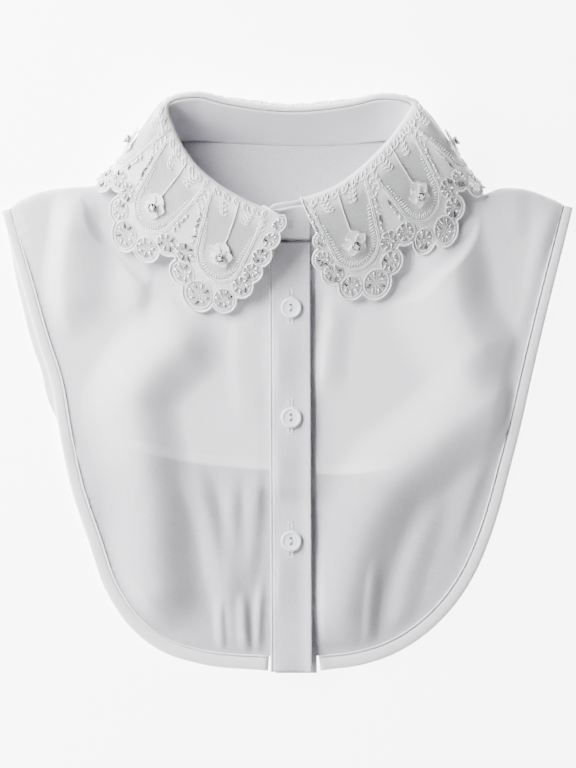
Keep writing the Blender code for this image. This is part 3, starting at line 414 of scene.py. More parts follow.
CREPE_GRAIN = 2600.0
CREPE_SLUB = 420.0
CREPE_DEPTH = 0.16
GRAIN_WIDE = 0.35


def grain_lying(finish, scale):
    """Short grains of crepe yarn that lie one way."""
    lying = finish.node("ShaderNodeMapping", {}, {"Vector": finish.place(), "Scale": scale})
    return finish.noise(CREPE_GRAIN, 1.0, lying)


SINGLE = (0.52, 0.505, 0.55, 1.0)
DOUBLE = (0.79, 0.77, 0.825, 1.0)
HEM = (0.87, 0.855, 0.90, 1.0)
chiffon = Finish("white_chiffon", roughness=0.72)
chiffon.shader.inputs["Sheen Weight"].default_value = 0.18
chiffon_grain = grain_lying(chiffon, (1.0, GRAIN_WIDE, 1.0)) + grain_lying(chiffon, (GRAIN_WIDE, 1.0, 1.0))
chiffon.bump(chiffon_grain * 0.5 + chiffon.noise(CREPE_SLUB) * 0.7, CREPE_DEPTH)
# The chiffon's colour grows lighter from one layer to two and to the bound hem. On the placket and the back
# panel the same value also paints shade.
plies_and_shade = chiffon.attribute("plies_and_shade")
ply_and_shade_colour = chiffon.blend(plies_and_shade.clamp(), SINGLE, DOUBLE)
ply_and_shade_colour = chiffon.blend((plies_and_shade - 1.0).clamp(), ply_and_shade_colour, HEM)
chiffon.drive("Base Color", chiffon.blend((chiffon_grain - 0.85) * 0.5, ply_and_shade_colour, (1.0, 1.0, 1.0, 1.0)))

back_seam = offset_path(seam_line(3.0, 7.0), -BACK_SEAM_IN)
back_edge = offset_path(BACK_EDGE, BACK_BINDING_WIDTH + BACK_EDGE_CLEAR)
back_outline = np.vstack(
    [
        back_edge,
        between(RIGHT_FOLD_LINE, back_seam[-1, 0] + CORNER_AT_SEAM, back_edge[-1, 0] - CORNER_AT_EDGE)[::-1],
        back_seam[::-1],
        between(LEFT_FOLD_LINE, back_edge[0, 0] + CORNER_AT_EDGE, back_seam[0, 0] - CORNER_AT_SEAM),
    ]
)
flat, faces = fill(back_outline, BACK_GRID)
x, y = flat.T
z = back_height(x, y) + CLOTH_LIFT + BACK_RIPPLE * (1 + wrinkles(x, y, 3, BACK_RIPPLE_LONG))
back = add_piece("back_cloth", np.column_stack([x, y, z]), faces, chiffon)
# Coloured as a single layer of chiffon, which it is. The dark tone also paints the shade that the standing
# collar throws inside the neck.
paint(back, "plies_and_shade", np.zeros(len(x)))
give_wall(back, CLOTH_WALL)
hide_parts("back")
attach(back, "root")

# ---- Front panels
# Two fronts of the same chiffon, sewn to the placket, the neck band and their bindings. They are
# a little bigger than the back, so they lie over it in soft folds and roll round at the shoulders.
LEFT_SIDE = [
    (-177.0, 106.5), (-171.0, 84.0), (-167.0, 70.0), (-155.5, 28.5), (-146.5, -0.5),
    (-141.5, -30.0), (-134.0, -66.0), (-123.5, -98.0), (-112.0, -130.0), (-96.5, -152.5),
    (-79.0, -166.0), (-53.0, -174.5), (-12.0, -178.5),
]  # fmt: skip
RIGHT_SIDE = [
    (177.0, 108.5), (171.0, 84.0), (161.0, 44.0), (151.0, 1.0), (144.5, -28.5),
    (138.0, -54.0), (130.5, -82.0), (124.0, -101.0), (116.0, -119.0), (102.0, -140.0),
    (85.0, -156.5), (66.5, -168.0), (48.0, -174.5), (20.6, -178.5),
]  # fmt: skip
Fold = namedtuple("Fold", "x0 y0 x1 y1 width height")
FOLDS = [
    Fold(-130.0, 104.0, -138.0, 30.0, 17.0, 3.0),
    Fold(-120.0, -12.0, -66.0, 30.0, 16.0, 4.0),
    Fold(-93.0, -12.0, -89.0, -150.0, 20.0, 5.0),
    Fold(-52.0, -64.0, -42.0, -148.0, 11.0, 2.6),
    Fold(92.0, 84.0, 133.0, 2.0, 26.0, 6.0),
    Fold(133.0, -12.0, 38.0, -124.0, 20.0, 5.0),
    Fold(47.0, -76.0, 42.0, -158.0, 12.0, 3.4),
    Fold(27.0, 66.0, 33.0, 10.0, 9.0, 1.8),
    Fold(155.0, 104.0, 152.0, 52.0, 13.0, 2.4),
]
Drape = namedtuple("Drape", "height lit shaded crest")
DRAPES = [
    Drape(7.0, 16.0, 32.0, [(-128.0, 126.0), (-134.0, 92.0), (-136.0, 62.0), (-131.0, 26.0)]),
    Drape(2.4, 22.0, 11.0, [(-93.0, 112.0), (-92.5, 76.0), (-95.0, 26.0)]),
    Drape(10.4, 32.0, 31.0, [(-46.0, 42.0), (-63.0, 29.0), (-85.0, 9.0), (-96.0, -10.0), (-93.0, -32.0),
                             (-86.0, -62.0), (-83.0, -108.0), (-76.0, -158.0)]),
    Drape(2.8, 13.0, 12.0, [(-62.0, -42.0), (-54.0, -68.0), (-39.0, -120.0), (-29.0, -174.0)]),
    Drape(1.9, 9.0, 8.0, [(-35.0, -50.0), (-33.0, -90.0), (-30.0, -140.0)]),
    Drape(1.5, 9.0, 8.0, [(-18.0, -50.0), (-21.0, -84.0), (-27.0, -140.0)]),
    Drape(2.0, 4.8, 4.2, [(-41.0, -128.0), (-41.5, -150.0), (-40.0, -174.0)]),
    Drape(2.6, 5.6, 4.6, [(-26.5, -124.0), (-26.0, -150.0), (-24.0, -176.0)]),
    Drape(2.0, 4.6, 3.8, [(-14.5, -118.0), (-17.0, -148.0), (-18.0, -176.0)]),
    Drape(1.0, 9.0, 16.0, [(-20.0, 62.0), (-30.0, 20.0), (-24.0, -30.0)]),
    Drape(2.2, 8.0, 17.0, [(31.0, 62.0), (26.5, 34.0), (21.0, -12.0)]),
    Drape(10.0, 46.0, 27.0, [(92.0, 124.0), (96.0, 98.0), (101.0, 72.0), (105.0, 48.0), (118.0, 22.0),
                             (135.0, -2.0)]),
    Drape(8.2, 36.0, 29.0, [(138.0, 12.0), (118.0, -16.0), (95.0, -35.0), (70.0, -56.0), (50.0, -88.0),
                            (37.0, -132.0), (31.0, -172.0)]),
    Drape(2.0, 12.0, 14.0, [(96.0, -62.0), (83.0, -92.0), (72.0, -130.0), (66.0, -166.0)]),
    Drape(1.4, 5.0, 7.0, [(56.0, -104.0), (52.0, -132.0), (50.0, -172.0)]),
    Drape(3.2, 18.0, 8.0, [(170.0, 112.0), (165.0, 82.0), (158.0, 44.0), (148.0, 14.0)]),
    Drape(1.2, 16.0, 10.0, [(126.0, -40.0), (112.0, -72.0), (100.0, -112.0)]),
]  # fmt: skip
DRAPE_CLEAR = 0.5
DRAPE_ENDS = 30.0
DRAPE_END_SHARE = 0.36
DRAPE_WANDER = 2.4
DRAPE_WANDER_LONG = 74.0
SMALL_WAVES = 0.30
SMALL_WAVES_LONG = 46.0
PUCKER = 0.20
PUCKER_AT = 8.2
PUCKER_REACH = 7.0
PLACKET_PUCKER = 0.15
PLACKET_PUCKER_REACH = 4.0
LACE_HOLD = 54.0
LACE_HOLD_RUN = 22.0
LACE_FREE = 12.0
HEM_EASE = 38.0
TUCK = 1.0
SEAM = 0.9
FRONT_OVER_BACK = 1.7
HEM_CLEAR = 8.5
HEM_STEP = 12.0
FOLD_FADE = 14.0
SHOULDER_ROLL = 2.4
SHOULDER_ROLL_WIDTH = 6.0
SHOULDER_ROLL_END = 46.0
NECK_RISE_WIDTH = 16.0
NECK_RISE_FRONT = 1.2
NECK_RISE_SIDE = 2.6
NECK_RISE_Y = 88.0
NECK_RISE_RUN = 50.0
PLACKET_WIDTH = 25.7
PLACKET_LEFT_TOP = -11.6
PLACKET_LEAN = 1.2
PLACKET_TOP = 87.0
PLACKET_BOTTOM = -179.0
UNDER_PLACKET_SHIFT = 3.0
BACK_HEM_BAND = (0.6, 6.2)
BACK_HEM_SHARE = 0.85
BACK_HEM_MIDDLE = -15.0
BACK_HEM_CLEAR_HALF = 58.0
BACK_HEM_FADE = 34.0
BACK_HEM_SOFT = 1.5
BACK_HEM_SOFT_LEFT = 46.0
BACK_HEM_SOFT_RIGHT = 20.0
FRONT_GRID = 1.6
BINDING_WIDTH_TOP = 7.0
BINDING_WIDTH_HEM = 9.5

LEFT_EDGE = smooth_path(LEFT_SIDE, 3.0)
RIGHT_EDGE = smooth_path(RIGHT_SIDE, 3.0)
FRONT_SEAM = offset_path(seam_line(2.95, 0.2), -SEAM)
FRONT_SEAM_RIGHT = offset_path(seam_line(9.6, 7.05), -SEAM)
WHOLE_FRONT = np.vstack(
    [
        LEFT_FOLD_LINE[::-4],
        seam_line(2.9, 0.1, 0.12),
        seam_line(9.7, 7.1, 0.12),
        RIGHT_FOLD_LINE[::4],
        RIGHT_EDGE[::4],
        LEFT_EDGE[::-4],
    ]
)


def placket_left(y):
    """The placket's left edge leans a little towards the hem."""
    return PLACKET_LEFT_TOP + PLACKET_LEAN * (PLACKET_TOP - y) / (PLACKET_TOP - PLACKET_BOTTOM)


def binding_width(path):
    """The front binding widens from the shoulder tip to the hem."""
    return np.linspace(BINDING_WIDTH_TOP, BINDING_WIDTH_HEM, len(path))


def base_height(x, y):
    """Underside of a front where it lies flat: on the back panel, and past its hem on the table."""
    over_back = depth_inside(x, y, WHOLE_BACK)
    return back_height(x, y) + FRONT_OVER_BACK * smooth((over_back + HEM_CLEAR + HEM_STEP) / HEM_STEP)


def ridges(x, y, rows):
    """Soft ridges from a table of creases."""
    total = np.zeros_like(x)
    for row in rows:
        crest = np.array([[row.x0, row.y0], [row.x1, row.y1]])
        total += row.height * smooth(1 - path_place(x, y, crest)[0] / row.width)
    return total


def front_height(x, y, folds=FOLDS):
    """Underside of the fronts with their main folds, shoulder roll and rise to the neck seam."""
    edge = np.minimum(path_place(x, y, LEFT_EDGE[::4])[0], path_place(x, y, RIGHT_EDGE[::4])[0])
    left, right = path_place(x, y, LEFT_FOLD_LINE[::2])[0], path_place(x, y, RIGHT_FOLD_LINE[::2])[0]
    shoulder = np.minimum(left, right)
    neck = path_place(x, y, np.vstack([FRONT_SEAM[::3], FRONT_SEAM_RIGHT[::3]]))[0]
    fade = smooth(edge / FOLD_FADE) * smooth(shoulder / FOLD_FADE)
    round_off = np.clip(1 - shoulder / SHOULDER_ROLL_WIDTH, 0, 1)
    roll = SHOULDER_ROLL * np.sqrt(1 - round_off**2)
    roll *= smooth(1 - (shoulder - SHOULDER_ROLL_WIDTH) / SHOULDER_ROLL_END) * smooth(edge / FOLD_FADE)
    rise = NECK_RISE_FRONT + NECK_RISE_SIDE * smooth((y - NECK_RISE_Y) / NECK_RISE_RUN)
    near = np.exp(-((neck / NECK_RISE_WIDTH) ** 2))
    return base_height(x, y) + ridges(x, y, folds) * fade * (1 - near) + np.maximum(roll, rise * near)


def drapes(x, y):
    """Soft folds that fall off gently on one side, more steeply on the other, and die out at both ends."""
    aside, along = (DRAPE_WANDER * wrinkles(x, y, seed, DRAPE_WANDER_LONG) for seed in (17, 18))
    x, y = x + aside, y + along
    total = np.zeros_like(x)
    for drape in DRAPES:
        crest = smooth_path(drape.crest, 5.0)
        gap, along = path_place(x, y, crest)
        beyond = x > np.interp(y, crest[::-1, 1], crest[::-1, 0])
        length = lengths_along(crest)[-1]
        ends = min(DRAPE_END_SHARE * length, DRAPE_ENDS)
        die = smooth(along / ends) * smooth((length - along) / ends)
        total += drape.height * die * smooth(1 - gap / np.where(beyond, drape.shaded, drape.lit))
    return total


def cloth_height(x, y):
    """Underside of the fronts as the cloth really falls, held down where the lace lies on it."""
    edge = np.full(len(x), np.inf)
    pucker = np.zeros(len(x))
    for path in (LEFT_EDGE, RIGHT_EDGE):
        gap, along = path_place(x, y, path)
        drawn = np.exp(-(((gap - PUCKER_AT) / PUCKER_REACH) ** 2)) * (0.55 + 0.45 * np.sin(along / 9.0))
        pucker += PUCKER * drawn * np.sin(along * 2 * math.pi / (6.5 + 2.0 * np.sin(along / 40.0)))
        edge = np.minimum(edge, gap)
    beside = np.clip(np.abs(x - placket_left(y) - PLACKET_WIDTH / 2) - PLACKET_WIDTH / 2, 0, None)
    drawn = np.exp(-beside / PLACKET_PUCKER_REACH) * smooth((70.0 - y) / 30.0)
    pucker += PLACKET_PUCKER * drawn * np.sin(y * 2 * math.pi / 11.0 + 1.5 * np.sin(y / 23.0))
    shoulder = np.minimum(path_place(x, y, LEFT_FOLD_LINE[::2])[0], path_place(x, y, RIGHT_FOLD_LINE[::2])[0])
    neck = path_place(x, y, np.vstack([FRONT_SEAM[::3], FRONT_SEAM_RIGHT[::3]]))[0]
    fade = smooth((edge - 6.0) / 14.0) * smooth(beside / 8.0) * smooth(shoulder / 10.0)
    over_back = depth_inside(x, y, WHOLE_BACK) + HEM_CLEAR
    eased = smooth((over_back + HEM_EASE) / HEM_EASE) - smooth((over_back + HEM_STEP) / HEM_STEP)
    waves = SMALL_WAVES * (1 + wrinkles(x, y, 11, SMALL_WAVES_LONG)) * smooth((neck - 60.0) / 30.0)
    free = front_height(x, y, folds=[]) + (drapes(x, y) + waves + FRONT_OVER_BACK * eased) * fade
    ceiling = front_height(x, y) + DRAPE_CLEAR + LACE_FREE * smooth((neck - LACE_HOLD) / LACE_HOLD_RUN)
    return np.minimum(free, ceiling) + pucker


def cloth_plies(x, y):
    """1 where the back lies under a front, 2 over its bound hem, and less past it, softly at the sides."""
    gap, _ = path_place(x, y, BACK_EDGE)
    within = depth_inside(x, y, WHOLE_BACK)
    low, high = BACK_HEM_BAND
    band = smooth((within - low + 0.8) / 1.6) * smooth((high - within + 0.8) / 1.6) * (gap < 14.0)
    aside = smooth((np.abs(x - BACK_HEM_MIDDLE) - BACK_HEM_CLEAR_HALF) / BACK_HEM_FADE)
    soft = BACK_HEM_SOFT + aside * np.where(x < 0, BACK_HEM_SOFT_LEFT, BACK_HEM_SOFT_RIGHT)
    return smooth((within + soft) / (2 * soft)) + band * (y < 60.0) * BACK_HEM_SHARE * (1 - aside)


left_edge = offset_path(LEFT_EDGE, binding_width(LEFT_EDGE) - TUCK)
right_edge = offset_path(RIGHT_EDGE, TUCK - binding_width(RIGHT_EDGE))
ys = np.linspace(87.5, left_edge[-1, 1] + 1.0, 160)
left_centre = np.column_stack([placket_left(ys) + TUCK, ys])
left_seam = FRONT_SEAM[FRONT_SEAM[:, 0] < left_centre[0, 0] - CORNER_AT_SEAM]
left_edge = left_edge[left_edge[:, 0] < left_centre[-1, 0] - CORNER_AT_EDGE]
left_shoulder = between(LEFT_FOLD_LINE, left_edge[0, 0] + CORNER_AT_EDGE, left_seam[0, 0] - CORNER_AT_SEAM)
ys = np.linspace(88.5, right_edge[-1, 1] + 1.0, 160)
right_centre = np.column_stack([placket_left(ys) + PLACKET_WIDTH + UNDER_PLACKET_SHIFT - TUCK / 2, ys])
right_seam = FRONT_SEAM_RIGHT[FRONT_SEAM_RIGHT[:, 0] > right_centre[0, 0] + CORNER_AT_SEAM]
right_edge = right_edge[right_edge[:, 0] > right_centre[-1, 0] + CORNER_AT_EDGE]
seam_end, edge_end = right_seam[-1, 0] + CORNER_AT_SEAM, right_edge[0, 0] - CORNER_AT_EDGE
right_shoulder = between(RIGHT_FOLD_LINE, seam_end, edge_end)
front_outlines = {
    "front_left": np.vstack([left_seam, left_centre, left_edge[::-1], left_shoulder[::-1]])[::-1],
    "front_right": np.vstack([right_shoulder, right_edge, right_centre[::-1], right_seam])[::-1],
}
for name, outline in front_outlines.items():
    flat, faces = fill(outline, FRONT_GRID)
    x, y = flat.T
    points = np.column_stack([x, y, cloth_height(x, y) + CLOTH_LIFT])
    front = add_piece(f"{name}_cloth", points, faces, chiffon)
    paint(front, "plies_and_shade", cloth_plies(x, y))
    give_wall(front, CLOTH_WALL)
    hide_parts(name)
    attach(front, "root")

# ---- Bindings
# Bias strips of the chiffon, folded round the raw edges of both fronts and of the back and sewn
# down close to their inner fold, so that they stand a little proud and pucker along the stitches.
BindingRow = namedtuple("BindingRow", "across up")
BINDING_TOP = [
    BindingRow(0.000, 0.38),
    BindingRow(0.030, 0.66),
    BindingRow(0.090, 0.86),
    BindingRow(0.200, 0.97),
    BindingRow(0.360, 1.00),
    BindingRow(0.560, 0.96),
    BindingRow(0.700, 0.90),
    BindingRow(0.780, 0.80),
    BindingRow(0.825, 0.46),
    BindingRow(0.865, 0.50),
    BindingRow(0.915, 0.96),
    BindingRow(0.965, 0.98),
    BindingRow(1.000, 0.80),
]
BINDING_WALL = 2.0
BACK_BINDING_WALL = 1.4
BINDING_STITCH_ACROSS = 0.84
BINDING_PLIES = 1.75
BINDING_PUCKER = 0.07
BINDING_THREAD = 0.34
BINDING_STITCH_UP = 0.66
STITCH_LONG = 1.9
STITCH_STEP = 2.5


def loft(name, sections, finish):
    """A closed solid through sections that have the same number of points."""
    sections = np.asarray(sections, float)
    rows, sides = sections.shape[:2]
    faces = [tuple(range(sides))[::-1], tuple((rows - 1) * sides + i for i in range(sides))]
    for row in range(rows - 1):
        a, b = row * sides, (row + 1) * sides
        faces += [(a + i, a + (i + 1) % sides, b + (i + 1) % sides, b + i) for i in range(sides)]
    return add_piece(name, sections.reshape(-1, 3), faces, finish)


class Tree:
    """A Geometry Nodes tree with named inputs. node() adds one node, its settings, then its sockets."""

    def __init__(self, name, inputs):
        self.group = bpy.data.node_groups.new(name, "GeometryNodeTree")
        self.group.interface.new_socket("Guide", in_out="INPUT", socket_type="NodeSocketGeometry")
        for label, kind in inputs.items():
            self.group.interface.new_socket(label, in_out="INPUT", socket_type=kind)
        self.group.interface.new_socket("Piece", in_out="OUTPUT", socket_type="NodeSocketGeometry")
        self.inputs = self.group.nodes.new("NodeGroupInput").outputs
        self.end = self.group.nodes.new("NodeGroupOutput")

    def node(self, kind, settings, sockets):
        made = self.group.nodes.new(kind)
        for setting, value in settings.items():
            setattr(made, setting, value)
        for socket, value in sockets.items():
            if isinstance(value, bpy.types.NodeSocket):
                self.group.links.new(value, made.inputs[socket])
            else:
                made.inputs[socket].default_value = value
        return made.outputs

    def finish_with(self, geometry):
        realized = self.node("GeometryNodeRealizeInstances", {}, {"Geometry": geometry})[0]
        soft = self.node("GeometryNodeSetShadeSmooth", {}, {"Geometry": realized})[0]
        sockets = {"Geometry": soft, "Material": self.inputs["Finish"]}
        dressed = self.node("GeometryNodeSetMaterial", {}, sockets)[0]
        self.group.links.new(dressed, self.end.inputs["Piece"])


def grow(name, guide, tree, values, finish):
    """The plain mesh that a tree makes of a guide mesh."""
    piece = bpy.data.objects.new(name, guide)
    bpy.context.scene.collection.objects.link(piece)
    step = piece.modifiers.new("Grow", "NODES")
    step.node_group = tree.group
    for item in tree.group.interface.items_tree:
        if item.name in values:
            step[item.identifier] = values[item.name]
        elif item.name == "Finish":
            step[item.identifier] = finish.material
    piece.update_tag()
    seen = piece.evaluated_get(bpy.context.evaluated_depsgraph_get())
    made = bpy.data.meshes.new_from_object(seen)
    piece.modifiers.remove(step)
    made.name = name
    piece.data = made
    return piece


def laid_bodies(name, kind, sizes):
    """A tree that lays one small body on each point of a guide, turned and drawn out as the point says."""
    tree = Tree(name, {"Thickness": "NodeSocketFloat", "Finish": "NodeSocketMaterial"})
    body = tree.node(kind, {}, sizes)["Mesh"]
    run = tree.node("GeometryNodeInputNamedAttribute", {"data_type": "FLOAT_VECTOR"}, {"Name": "run"})
    long = tree.node("GeometryNodeInputNamedAttribute", {"data_type": "FLOAT"}, {"Name": "long"})
    turn = tree.node("FunctionNodeAlignRotationToVector", {"axis": "Z"}, {"Vector": run["Attribute"]})
    thickness = tree.inputs["Thickness"]
    size = tree.node("ShaderNodeCombineXYZ", {}, {"X": thickness, "Y": thickness, "Z": long["Attribute"]})
    sockets = {"Points": tree.inputs["Guide"], "Instance": body, "Rotation": turn[0], "Scale": size[0]}
    tree.finish_with(tree.node("GeometryNodeInstanceOnPoints", {}, sockets)[0])
    return tree


def between_points(name, starts, ends, glint_tones=None):
    """A guide with one point midway between each start and end, which carries its direction and length."""
    starts, ends = np.asarray(starts, float), np.asarray(ends, float)
    guide = bpy.data.meshes.new(name)
    guide.from_pydata([tuple(point) for point in (starts + ends) / 2 * MM], [], [])
    layer = guide.attributes.new("run", "FLOAT_VECTOR", "POINT")
    layer.data.foreach_set("vector", unit(ends - starts).astype(np.float32).ravel())
    layer = guide.attributes.new("long", "FLOAT", "POINT")
    layer.data.foreach_set("value", (np.linalg.norm(ends - starts, axis=1) * MM).astype(np.float32))
    if glint_tones is not None:
        layer = guide.attributes.new("painted_glint", "FLOAT", "POINT")
        layer.data.foreach_set("value", np.asarray(glint_tones, np.float32))
    return guide


def stitches_along(path):
    """Starts and ends of a row of stitches on a path in space."""
    along = lengths_along(path)
    begin = np.arange(STITCH_STEP / 2, along[-1] - STITCH_LONG, STITCH_STEP)
    starts = np.column_stack([np.interp(begin, along, path[:, i]) for i in range(3)])
    ends = np.column_stack([np.interp(begin + STITCH_LONG, along, path[:, i]) for i in range(3)])
    return starts, ends


sewing = Finish("white_sewing_thread", base_color=(0.86, 0.865, 0.88, 1.0), roughness=0.5)
sewing.bump(sewing.noise(6000.0, 1.0), 0.05)
strand = {"Segments": 6, "Rings": 5, "Radius": 0.5}
thread_tree = laid_bodies("laid_threads", "GeometryNodeMeshUVSphere", strand)


def sew(name, starts, ends, thickness, finish=sewing):
    """One piece of thread work: a stitch from each start to its end."""
    guide = between_points(name, np.vstack(starts), np.vstack(ends))
    return grow(name, guide, thread_tree, {"Thickness": thickness * MM}, finish)


seam_starts, seam_ends = [], []
for name, edge, widths, wall, height in (
    ("binding_front_left", LEFT_EDGE, binding_width(LEFT_EDGE), BINDING_WALL, base_height),
    ("binding_front_right", RIGHT_EDGE[::-1], binding_width(RIGHT_EDGE)[::-1], BINDING_WALL, base_height),
    ("binding_back", BACK_EDGE, np.full(len(BACK_EDGE), BACK_BINDING_WIDTH), BACK_BINDING_WALL, back_height),
):
    inward = offset_path(edge, 1.0) - edge
    along = lengths_along(edge)
    low = height(*edge.T)
    drawn = 1 + BINDING_PUCKER * np.sin(along * 2 * math.pi / 5.6 + 1.8 * np.sin(along / 31.0))
    rows = []
    for row in BINDING_TOP:
        rows.append((row.across, row.up * wall * np.where(0.1 < row.across < 0.95, drawn, 1.0)))
    rows += [(1.0, np.zeros(len(edge))), (0.3, np.zeros(len(edge)))]
    columns = []
    for across, up in rows:
        spot = edge + inward * (widths * across)[:, None]
        columns.append(np.column_stack([spot, low + up]))
    sections = np.stack(columns, axis=1)[:, ::-1]
    strip = loft(f"{name}_cloth", sections, chiffon)
    paint(strip, "plies_and_shade", np.full(len(strip.data.vertices), BINDING_PLIES))
    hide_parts(name)
    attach(strip, "root")
    groove = edge + inward * (widths * BINDING_STITCH_ACROSS)[:, None]
    starts, ends = stitches_along(np.column_stack([groove, low + wall * BINDING_STITCH_UP]))
    seam_starts.append(starts)
    seam_ends.append(ends)
binding_stitches = sew("binding_stitches", seam_starts, seam_ends, BINDING_THREAD)
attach(binding_stitches, "root")

# ---- Placket and under placket
# A pressed strip of folded chiffon down the left front, sewn on with two close rows along its left
# edge and one inside its free edge, over the same strip on the right front. It closes with three
# buttons through upright buttonholes.
PLACKET_WALL = 1.6
PLACKET_LIFT = 1.6
UNDER_PLACKET_WALL = 1.2
GAP = 0.3
PLACKET_ROWS = 170
PLACKET_ACROSS = (
    0.0, 0.3, 0.8, 1.2, 1.5, 1.8, 2.1, 2.5, 3.2, 4.4, 6.0, 8.0, 12.0, 16.0, 20.0, 22.6, 23.6, 24.1, 24.6,
    25.3, 25.7,
)  # fmt: skip
PLACKET_MIDDLE = 12
PLACKET_SEAMS = (0.9, 3.2, 24.1)
# Painted shade: the placket is three or four layers of chiffon, yet its colour is set close to one layer,
# which darkens its bowed face between the buttons.
PLACKET_PAINTED_SHADE = 0.15
PLACKET_THREAD = 0.36
SEAM_DITCH = 1.8
SEAM_DITCH_WIDTH = 0.36
GROOVE_WIDTH = 0.45
GROOVE_DEPTH = 0.13
DITCH_SHARE = 4.2
EDGE_ROUND = 0.8
EDGE_DROP = 0.55
RIPPLE = 0.09
UNDER_FLAT = 0.15
FREE_EDGE_FROM = 19.0
FREE_EDGE_RUN = 7.0
FREE_EDGE_LIFT = 0.5
FREE_EDGE_MORE = 1.3
FREE_EDGE_TOP = 60.0
FREE_EDGE_LONG = 200.0
STITCH_PROUD = 0.08
BUTTON_X = 2.5
BUTTON_Y = (46.5, -21.5, -98.0)
BUTTONHOLE_TOP = 11.6
BUTTONHOLE_BOTTOM = 10.0
BUTTONHOLE_HALF = 1.9
BUTTONHOLE_X = BUTTON_X - 0.5
BUTTONHOLE_SLIT = 0.35
BUTTONHOLE_THREAD = 0.42


def placket_height(y):
    """Underside of the under placket along the centre line."""
    y = np.atleast_1d(np.asarray(y, float))
    return base_height(np.full_like(y, 3.0), y) + 0.9 * smooth((y - 60.0) / 26.0)


def placket_top(across, y, under=False):
    """Height of a placket's upper face, a given way in from its left edge."""
    base = placket_height(y) + UNDER_PLACKET_WALL
    if under:
        return base - UNDER_FLAT
    bow = 0.5 - 0.5 * np.cos(2 * math.pi * (y - BUTTON_Y[0]) / (BUTTON_Y[0] - BUTTON_Y[1]))
    swell = smooth(across / 6.0) * (1 - 0.75 * smooth((across - 5.0) / 17.0))
    rise = GAP + PLACKET_LIFT * (across / PLACKET_WIDTH * (1 - bow) + swell * bow)
    near_seams = np.exp(-np.minimum(across, 26 - across) / 3)
    ripple = RIPPLE * np.sin(y * 2 * math.pi / 9.0 + 1.2 * np.sin(y / 21.0)) * near_seams
    groove = sum(np.exp(-(((across - seam) / GROOVE_WIDTH) ** 2)) for seam in PLACKET_SEAMS)
    groove = groove + DITCH_SHARE * np.exp(-(((across - SEAM_DITCH) / SEAM_DITCH_WIDTH) ** 2))
    edge = np.clip(1 - np.minimum(across, PLACKET_WIDTH - across) / EDGE_ROUND, 0, 1)
    return base + rise + PLACKET_WALL + ripple - GROOVE_DEPTH * groove - EDGE_DROP * edge**2


def free_edge_lift(across, y):
    """How far the placket's free edge stands off the strip below, more towards the hem."""
    lift = FREE_EDGE_LIFT + FREE_EDGE_MORE * smooth((FREE_EDGE_TOP - y) / FREE_EDGE_LONG)
    return lift * smooth((across - FREE_EDGE_FROM) / FREE_EDGE_RUN)


def on_placket(x, y, proud):
    """Points a little proud of the placket's upper face, at places on it."""
    return np.column_stack([x, y, placket_top(x - placket_left(y), y) + proud])


for name, shift, top, bottom in (
    ("under_placket", UNDER_PLACKET_SHIFT, PLACKET_TOP - 0.5, PLACKET_BOTTOM - 0.8),
    ("placket", 0.0, PLACKET_TOP, PLACKET_BOTTOM),
):
    ys = np.linspace(top, bottom, PLACKET_ROWS)
    under = name == "under_placket"
    columns = []
    for across in PLACKET_ACROSS:
        high = placket_top(np.full_like(ys, across), ys, under)
        if not under:
            high = high + free_edge_lift(across, ys)
        columns.append(np.column_stack([placket_left(ys) + shift + across, ys, high]))
    thick, thin = (0.85, 0.5) if under else (1.1, 0.75)
    lower = [columns[-1] - (0, 0, thin), columns[PLACKET_MIDDLE] - (0, 0, thick), columns[0] - (0, 0, thin)]
    strip = loft(f"{name}_cloth", np.stack(columns + lower, axis=1)[:, ::-1], chiffon)
    strip.data.flip_normals()
    # Painted shade: the placket's colour is set darker than its layers would make it.
    paint(strip, "plies_and_shade", np.full(len(strip.data.vertices), PLACKET_PAINTED_SHADE))
    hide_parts(name)
    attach(strip, "root")

ys = np.linspace(PLACKET_TOP - 1.5, PLACKET_BOTTOM + 1.5, 260)
seams = [(np.full_like(ys, across), ys) for across in PLACKET_SEAMS]
across = np.linspace(1.0, PLACKET_WIDTH - 1.0, 30)
seams += [(across, np.full_like(across, y)) for y in (PLACKET_TOP - 1.2, PLACKET_BOTTOM + 4.5)]
sewn = [stitches_along(on_placket(placket_left(ys) + across, ys, STITCH_PROUD)) for across, ys in seams]
placket_stitches = sew("placket_stitches", *zip(*sewn), PLACKET_THREAD)
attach(placket_stitches, "root")

hole_starts, hole_ends = [], []
for centre in BUTTON_Y:
    for side in (-1, 1):
        ys = np.arange(centre - BUTTONHOLE_BOTTOM, centre + BUTTONHOLE_TOP, 0.5)
        for half, into in ((BUTTONHOLE_SLIT, hole_starts), (BUTTONHOLE_HALF, hole_ends)):
            into.append(on_placket(np.full_like(ys, BUTTONHOLE_X + side * half), ys, 0.12))
    for end in (centre - BUTTONHOLE_BOTTOM, centre + BUTTONHOLE_TOP):
        xs = np.arange(BUTTONHOLE_X - BUTTONHOLE_HALF, BUTTONHOLE_X + 0.1 + BUTTONHOLE_HALF, 0.45)
        for y, into in ((end - 0.7, hole_starts), (end + 0.7, hole_ends)):
            into.append(on_placket(xs, np.full_like(xs, y), 0.16))
buttonholes = sew("buttonholes", hole_starts, hole_ends, BUTTONHOLE_THREAD)
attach(buttonholes, "root")

# ---- Neck band
# A stand of doubled chiffon round the neck. Its lower edge is sewn to the panels and its top edge
# carries the lace fall; its ends overlap at the front, where the right one is rounded.
BAND_START = -0.2
BAND_END = 10.2
BAND_WALL = 1.2
BAND_TOP_GAP = 0.5
BAND_ROUND = 0.25
BAND_ROUND_DROP = 7.0
BAND_UP = (0.0, 0.04, 0.09, 0.16, 0.3, 0.5, 0.7, 0.84, 0.93, 1.0)
BAND_BOW = 0.3
BAND_PLIES = 1.1
BAND_HOLE_AT = 0.16
BAND_HOLE_UP = (10.5, 17.5)


def facing(seam, fold, ahead):
    """Which way the band stands up from its seam, and which way it faces."""
    rise = unit(fold - seam)
    return rise, unit(np.cross(rise, ahead))


